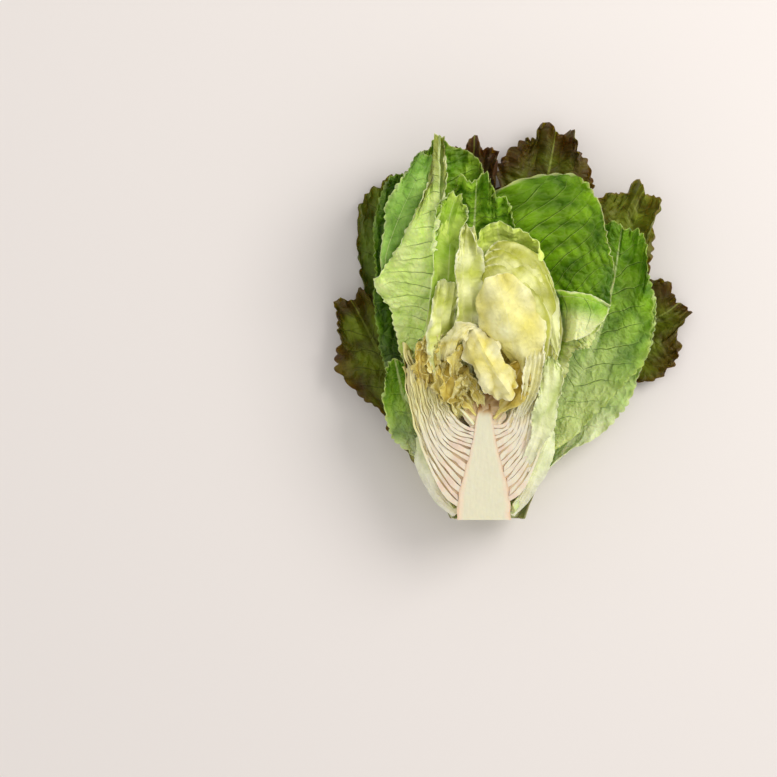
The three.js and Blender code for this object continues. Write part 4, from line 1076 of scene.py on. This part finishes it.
GREEN_TONES = ("#ebefd0", "#93bc2c", "#578610", "#dbea98")
BRIGHT_TONES = ("#f0f6c8", "#e4fb98", "#c6ec68", "#f0f7ba")
DARK_TONES = ("#d4dfa4", "#5f841a", "#36540a", "#8fa84e")
RED_STAIN = "#46290e"  # the red pigment of leaves that lay in the sun
GREEN_LEAVES = [
    dict(
        name="heart_wrap", seed=15, root=(4, 12),
        path=[(6, 60, 24), (10, 110, 26), (12, 155, 34), (8, 184, 50)], wide=(46, 46),
        curl=((60, 70), (70, 78)), waves=(2, 8), frill=0.7, tooth=0.4, cells=(13, 10), shade=0.15,
        tones=("#f1f1b8", "#eafc7c", "#d2ec4e", "#eff6ac")
    ),
    dict(
        name="green_leaf_low_left", seed=7, root=(-50, 10),
        path=[(-34, 42, 30), (-48, 72, 38), (-55, 99, 44)], wide=(16, 14), waves=(2.5, 5),
        reach=14.0, face=(0.2, 0.0, 1.0), cells=(9, 8), pale=0.7
    ),
    dict(
        name="green_leaf_top", seed=11, root=(6, 8),
        path=[(2, 70, 22), (-4, 120, 22), (-6, 170, 38), (-5, 212, 62)], wide=(25, 27),
        waves=(5, 9), shade=0.6, frill=2.2
    ),
    dict(
        name="green_leaf_left_front", seed=14, root=(-45, 14),
        path=[(-36, 64, 34), (-42, 96, 56), (-33, 130, 68), (-29, 180, 76), (-28, 238, 66)],
        wide=(41, 15), taper=0.85, widest=0.7, curl=((-10, -15), (-60, -60)), keel=-20.0,
        waves=(3, 8), reach=8.0, shade=0.35, start=0.36, ease=0.8, side_veins=(9.0, 0.15),
        lumps=(0.8, 18.0), tip="#878f38", tones=BRIGHT_TONES
    ),
    dict(
        name="left_flap", seed=71, begin=(-60, 140, 48),
        path=[(-61, 162, 56), (-53, 186, 63), (-44, 206, 66), (-35, 226, 64)], wide=(10, 12),
        curl=((-20, -20), (-5, -5)), waves=(2, 7), reach=8.0, rib=(0.4, 0.5), lumps=(0.6, 24.0),
        pale=0.1, tones=("#98bf5a", "#a0c860", "#76a238", "#d6e6a0")
    ),
    dict(
        name="round_leaf_lobe", seed=76, begin=(40, 141, 59),
        path=[(51, 139, 62), (64, 136, 63), (77, 131, 62)], wide=(3, 27), rib=(0.5, 0.5),
        start=-0.5, widest=0.55, taper=0.5, ease=3.0, arch=0.1, curl=((0, 0), (14, 20)),
        waves=(0.8, 4), frill=0.5, tooth=0.6, puff=0.2, lumps=(0.4, 26.0), side_veins=(14.0, 0.6),
        pale=0.1, lobe="#e6f0a8", tones=("#b4d070", "#a4cc44", "#76a81c", "#f4f6c4")
    ),
    dict(
        name="green_leaf_round", seed=10, root=(40, 14),
        path=[(26, 60, 30), (36, 104, 42), (52, 128, 52), (88, 134, 58)], wide=(88, 24),
        taper=(0.1, 0.75), widest=0.8, curl=((5, 12), (10, 20)), cells=(13, 10),
        side_veins=(10.0, 1.5), arch=0.25, lumps=(1.1, 20.0), tooth=1.8, frill=1.8, pale=0.3,
        notch=13.0, lobe="#e4f0a0", tones=("#e8eecb", "#86b218", "#416804", "#e2e2a4")
    ),
    dict(
        name="green_leaf_top_left", seed=12, root=(-18, 8),
        path=[(-16, 70, 22), (-28, 120, 24), (-32, 180, 38), (-26, 236, 50)], wide=(20, 34),
        waves=(4, 8), shade=0.45, blush=0.25
    ),
    dict(
        name="green_leaf_left_back", seed=13, root=(-35, 10),
        path=[(-40, 70, 26), (-50, 120, 32), (-52, 175, 42), (-46, 216, 50)], wide=(18, 18),
        waves=(2, 7), shade=0.8, tones=DARK_TONES
    ),
    dict(
        name="green_leaf_right", seed=9, root=(48, 10),
        path=[(38, 52, 22), (63, 93, 22), (79, 136, 26), (87, 184, 38)], wide=(34, 31),
        waves=(4, 8), frill=1.8, tooth=1.7, pitch=6.0, pale=0.75, lumps=(0.5, 24.0),
        tones=("#e2eea4", "#82ac1c", "#4a7607", "#b9d06c")
    ),
    dict(
        name="green_leaf_low_right", seed=8, root=(62, 8),
        path=[(46, 42, 14), (74, 84, 11), (86, 124, 12), (92, 158, 18)], wide=(28, 24),
        waves=(3, 8), shade=0.4, pale=0.6, lumps=(0.5, 24.0),
        tones=("#eef1cc", "#bcd675", "#8db63c", "#dbe8a4")
    ),
]

# Lettuce lamina: waxy, lightly blistered, with veins paler than the blade, and a dark painted
# shadow in the crease below each side vein.
green_lamina = leaf_lamina(
    "green leaf lamina", rib="#c6d88a", vein="#bcd270", crease="#27480a", shown=0.8, net_mm=6.0,
    gloss=0.4, relief_mm=1.1, glow=(0.7, 1.0, 0.12),
)

inside = HEART_NODES + [cup["name"] for cup in LEAF_BASES]
for entry in GREEN_LEAVES:
    # The wrap leaf is as young and yellow as the heart that it holds.
    wraps = entry["name"] == "heart_wrap"
    lamina, slot = (young_lamina, "heart_leaf") if wraps else (green_lamina, "green_leaf")
    add_leaf(entry, dict(tones=GREEN_TONES), inside, lamina)
    if entry["name"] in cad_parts:
        inside.append(entry["name"])

# ---------------------------------------------------------------- red outer leaves
# The oldest leaves, which lay in the sun: dark red-brown over green, leathery and strongly
# frilled. The half head lies on them, so their undersides are pressed flat on the table.

RED_TONES = ("#dfe3b6", "#708018", "#48450c", "#4a301c")
RED_LEAVES = [
    dict(
        name="red_leaf_top_left", seed=2, root=(-12, 5),
        path=[(-8, 80, 12), (-8, 160, 10), (-5, 238, 20)], wide=(24, 20), waves=(5, 9), shade=0.8,
        tones=("#c8c8a0", "#564c28", "#362a1c", "#3e2e28")
    ),
    dict(
        name="red_leaf_top_right", seed=4, root=(25, 6),
        path=[(38, 78, 12), (74, 146, 12), (102, 208, 20)], wide=(28, 26), waves=(6, 9), shade=0.4,
        blush=0.3, tones=("#dfe3b6", "#86982c", "#5e6620", "#8a6248")
    ),
    dict(
        name="red_leaf_low_left", seed=6, root=(-38, 7),
        path=[(-38, 52, 14), (-62, 98, 10), (-84, 140, 12)], wide=(26, 26), waves=(5, 8),
        widest=0.8
    ),
    dict(
        name="red_leaf_top", seed=1, root=(10, 4),
        path=[(8, 80, 4), (24, 150, 2), (39, 205, 12), (47, 246, 14)], wide=(29, 29), waves=(6, 9),
        widest=0.8, shade=0.8
    ),
    dict(
        name="red_leaf_right", seed=3, root=(40, 5),
        path=[(36, 60, 5), (80, 106, 1), (127, 136, 8)], wide=(40, 32), waves=(6, 9), widest=0.85
    ),
    dict(
        name="red_leaf_left", seed=5, root=(-25, 4),
        path=[(-32, 70, 4), (-52, 130, 2), (-60, 214, 10)], wide=(25, 24), waves=(4, 8), shade=0.3,
        blush=0.2, tones=("#dfe3b6", "#647c1c", "#3e4e12", "#44391f")
    ),
]

# Sun-reddened lamina: darker, a little duller, the veins greener than the blade between them, and
# a dark painted shadow in the crease below each side vein.
red_lamina = leaf_lamina(
    "sun-reddened leaf lamina", rib="#96a045", vein="#7f8430", crease="#1e1206", shown=0.6,
    net_mm=8.0, gloss=0.45, relief_mm=1.0, glow=(1.0, 0.7, 0.1),
)

RED_USUAL = dict(
    frill=2.0, tooth=2.6, pitch=9.0, blush=0.45, lumps=(1.2, 24.0), tones=RED_TONES
)
for entry in RED_LEAVES:
    add_leaf(entry, RED_USUAL, inside, red_lamina)
    inside.append(entry["name"])

# ---------------------------------------------------------------- table, light and camera
# A pale matt table seen straight from above, one broad soft window light from the upper right,
# and an even bright room.

MM_PER_SHARE = 481.7  # mm of table across the whole view
VIEW_HEIGHT = 1.9  # m, camera over the table
VIEW_MIDDLE = (-59.2, 81.5)  # mm from the stem's end
LEAF_LEVEL = 0.05  # m over the table, where MM_PER_SHARE holds
SENSOR = 36.0  # mm
BOARD_WHITE = "#ebe4df"
ROOM_WHITE = (1.0, 0.99, 0.985, 1.0)
ROOM_STRENGTH = 0.735
WINDOW_SIDE = 0.9  # m
WINDOW_WATTS = 14.6
WINDOW_WHITE = (1.0, 0.985, 0.965)
WINDOW_PLACE = (1.0, 0.65, 1.15)  # m
WINDOW_TILT = (-24.0, 38.0, 0.0)  # degrees, towards the half head

# The table is six metres square, so its edges never show.
table = bpy.data.meshes.new("table")
table.from_pydata([(-3, -3, 0), (3, -3, 0), (3, 3, 0), (-3, 3, 0)], [], [(0, 1, 2, 3)])
table_top = bpy.data.objects.new("table_top", table)
bpy.context.scene.collection.objects.link(table_top)
# Matt painted board: warm off-white with no pattern of its own.
painted_board = new_material("matt painted board")
board_white = (*linear(BOARD_WHITE), 1.0)
board = add_node(painted_board, "BsdfPrincipled", Base_Color=board_white, Roughness=0.85)
add_node(painted_board, "OutputMaterial", Surface=board)
table_top.data.materials.append(painted_board)

room = bpy.data.worlds.new("room")
bpy.context.scene.world = room
room.use_nodes = True
room.node_tree.nodes["Background"].inputs[0].default_value = ROOM_WHITE
room.node_tree.nodes["Background"].inputs[1].default_value = ROOM_STRENGTH

window = bpy.data.lights.new("window", "AREA")
window.shape = "RECTANGLE"
window.size = WINDOW_SIDE
window.size_y = WINDOW_SIDE
window.energy = WINDOW_WATTS
window.color = WINDOW_WHITE
window_light = bpy.data.objects.new("window_light", window)
window_light.location = WINDOW_PLACE
window_light.rotation_euler = np.radians(WINDOW_TILT)
bpy.context.scene.collection.objects.link(window_light)

lens = bpy.data.cameras.new("view")
lens.sensor_width = SENSOR
lens.lens = SENSOR * (VIEW_HEIGHT - LEAF_LEVEL) / (MM_PER_SHARE / 1000.0)
camera = bpy.data.objects.new("view", lens)
camera.location = (*(VIEW_MIDDLE + STEM_END[:2]) / 1000.0, VIEW_HEIGHT)
bpy.context.scene.collection.objects.link(camera)
bpy.context.scene.camera = camera
bpy.context.scene.view_settings.view_transform = "Standard"
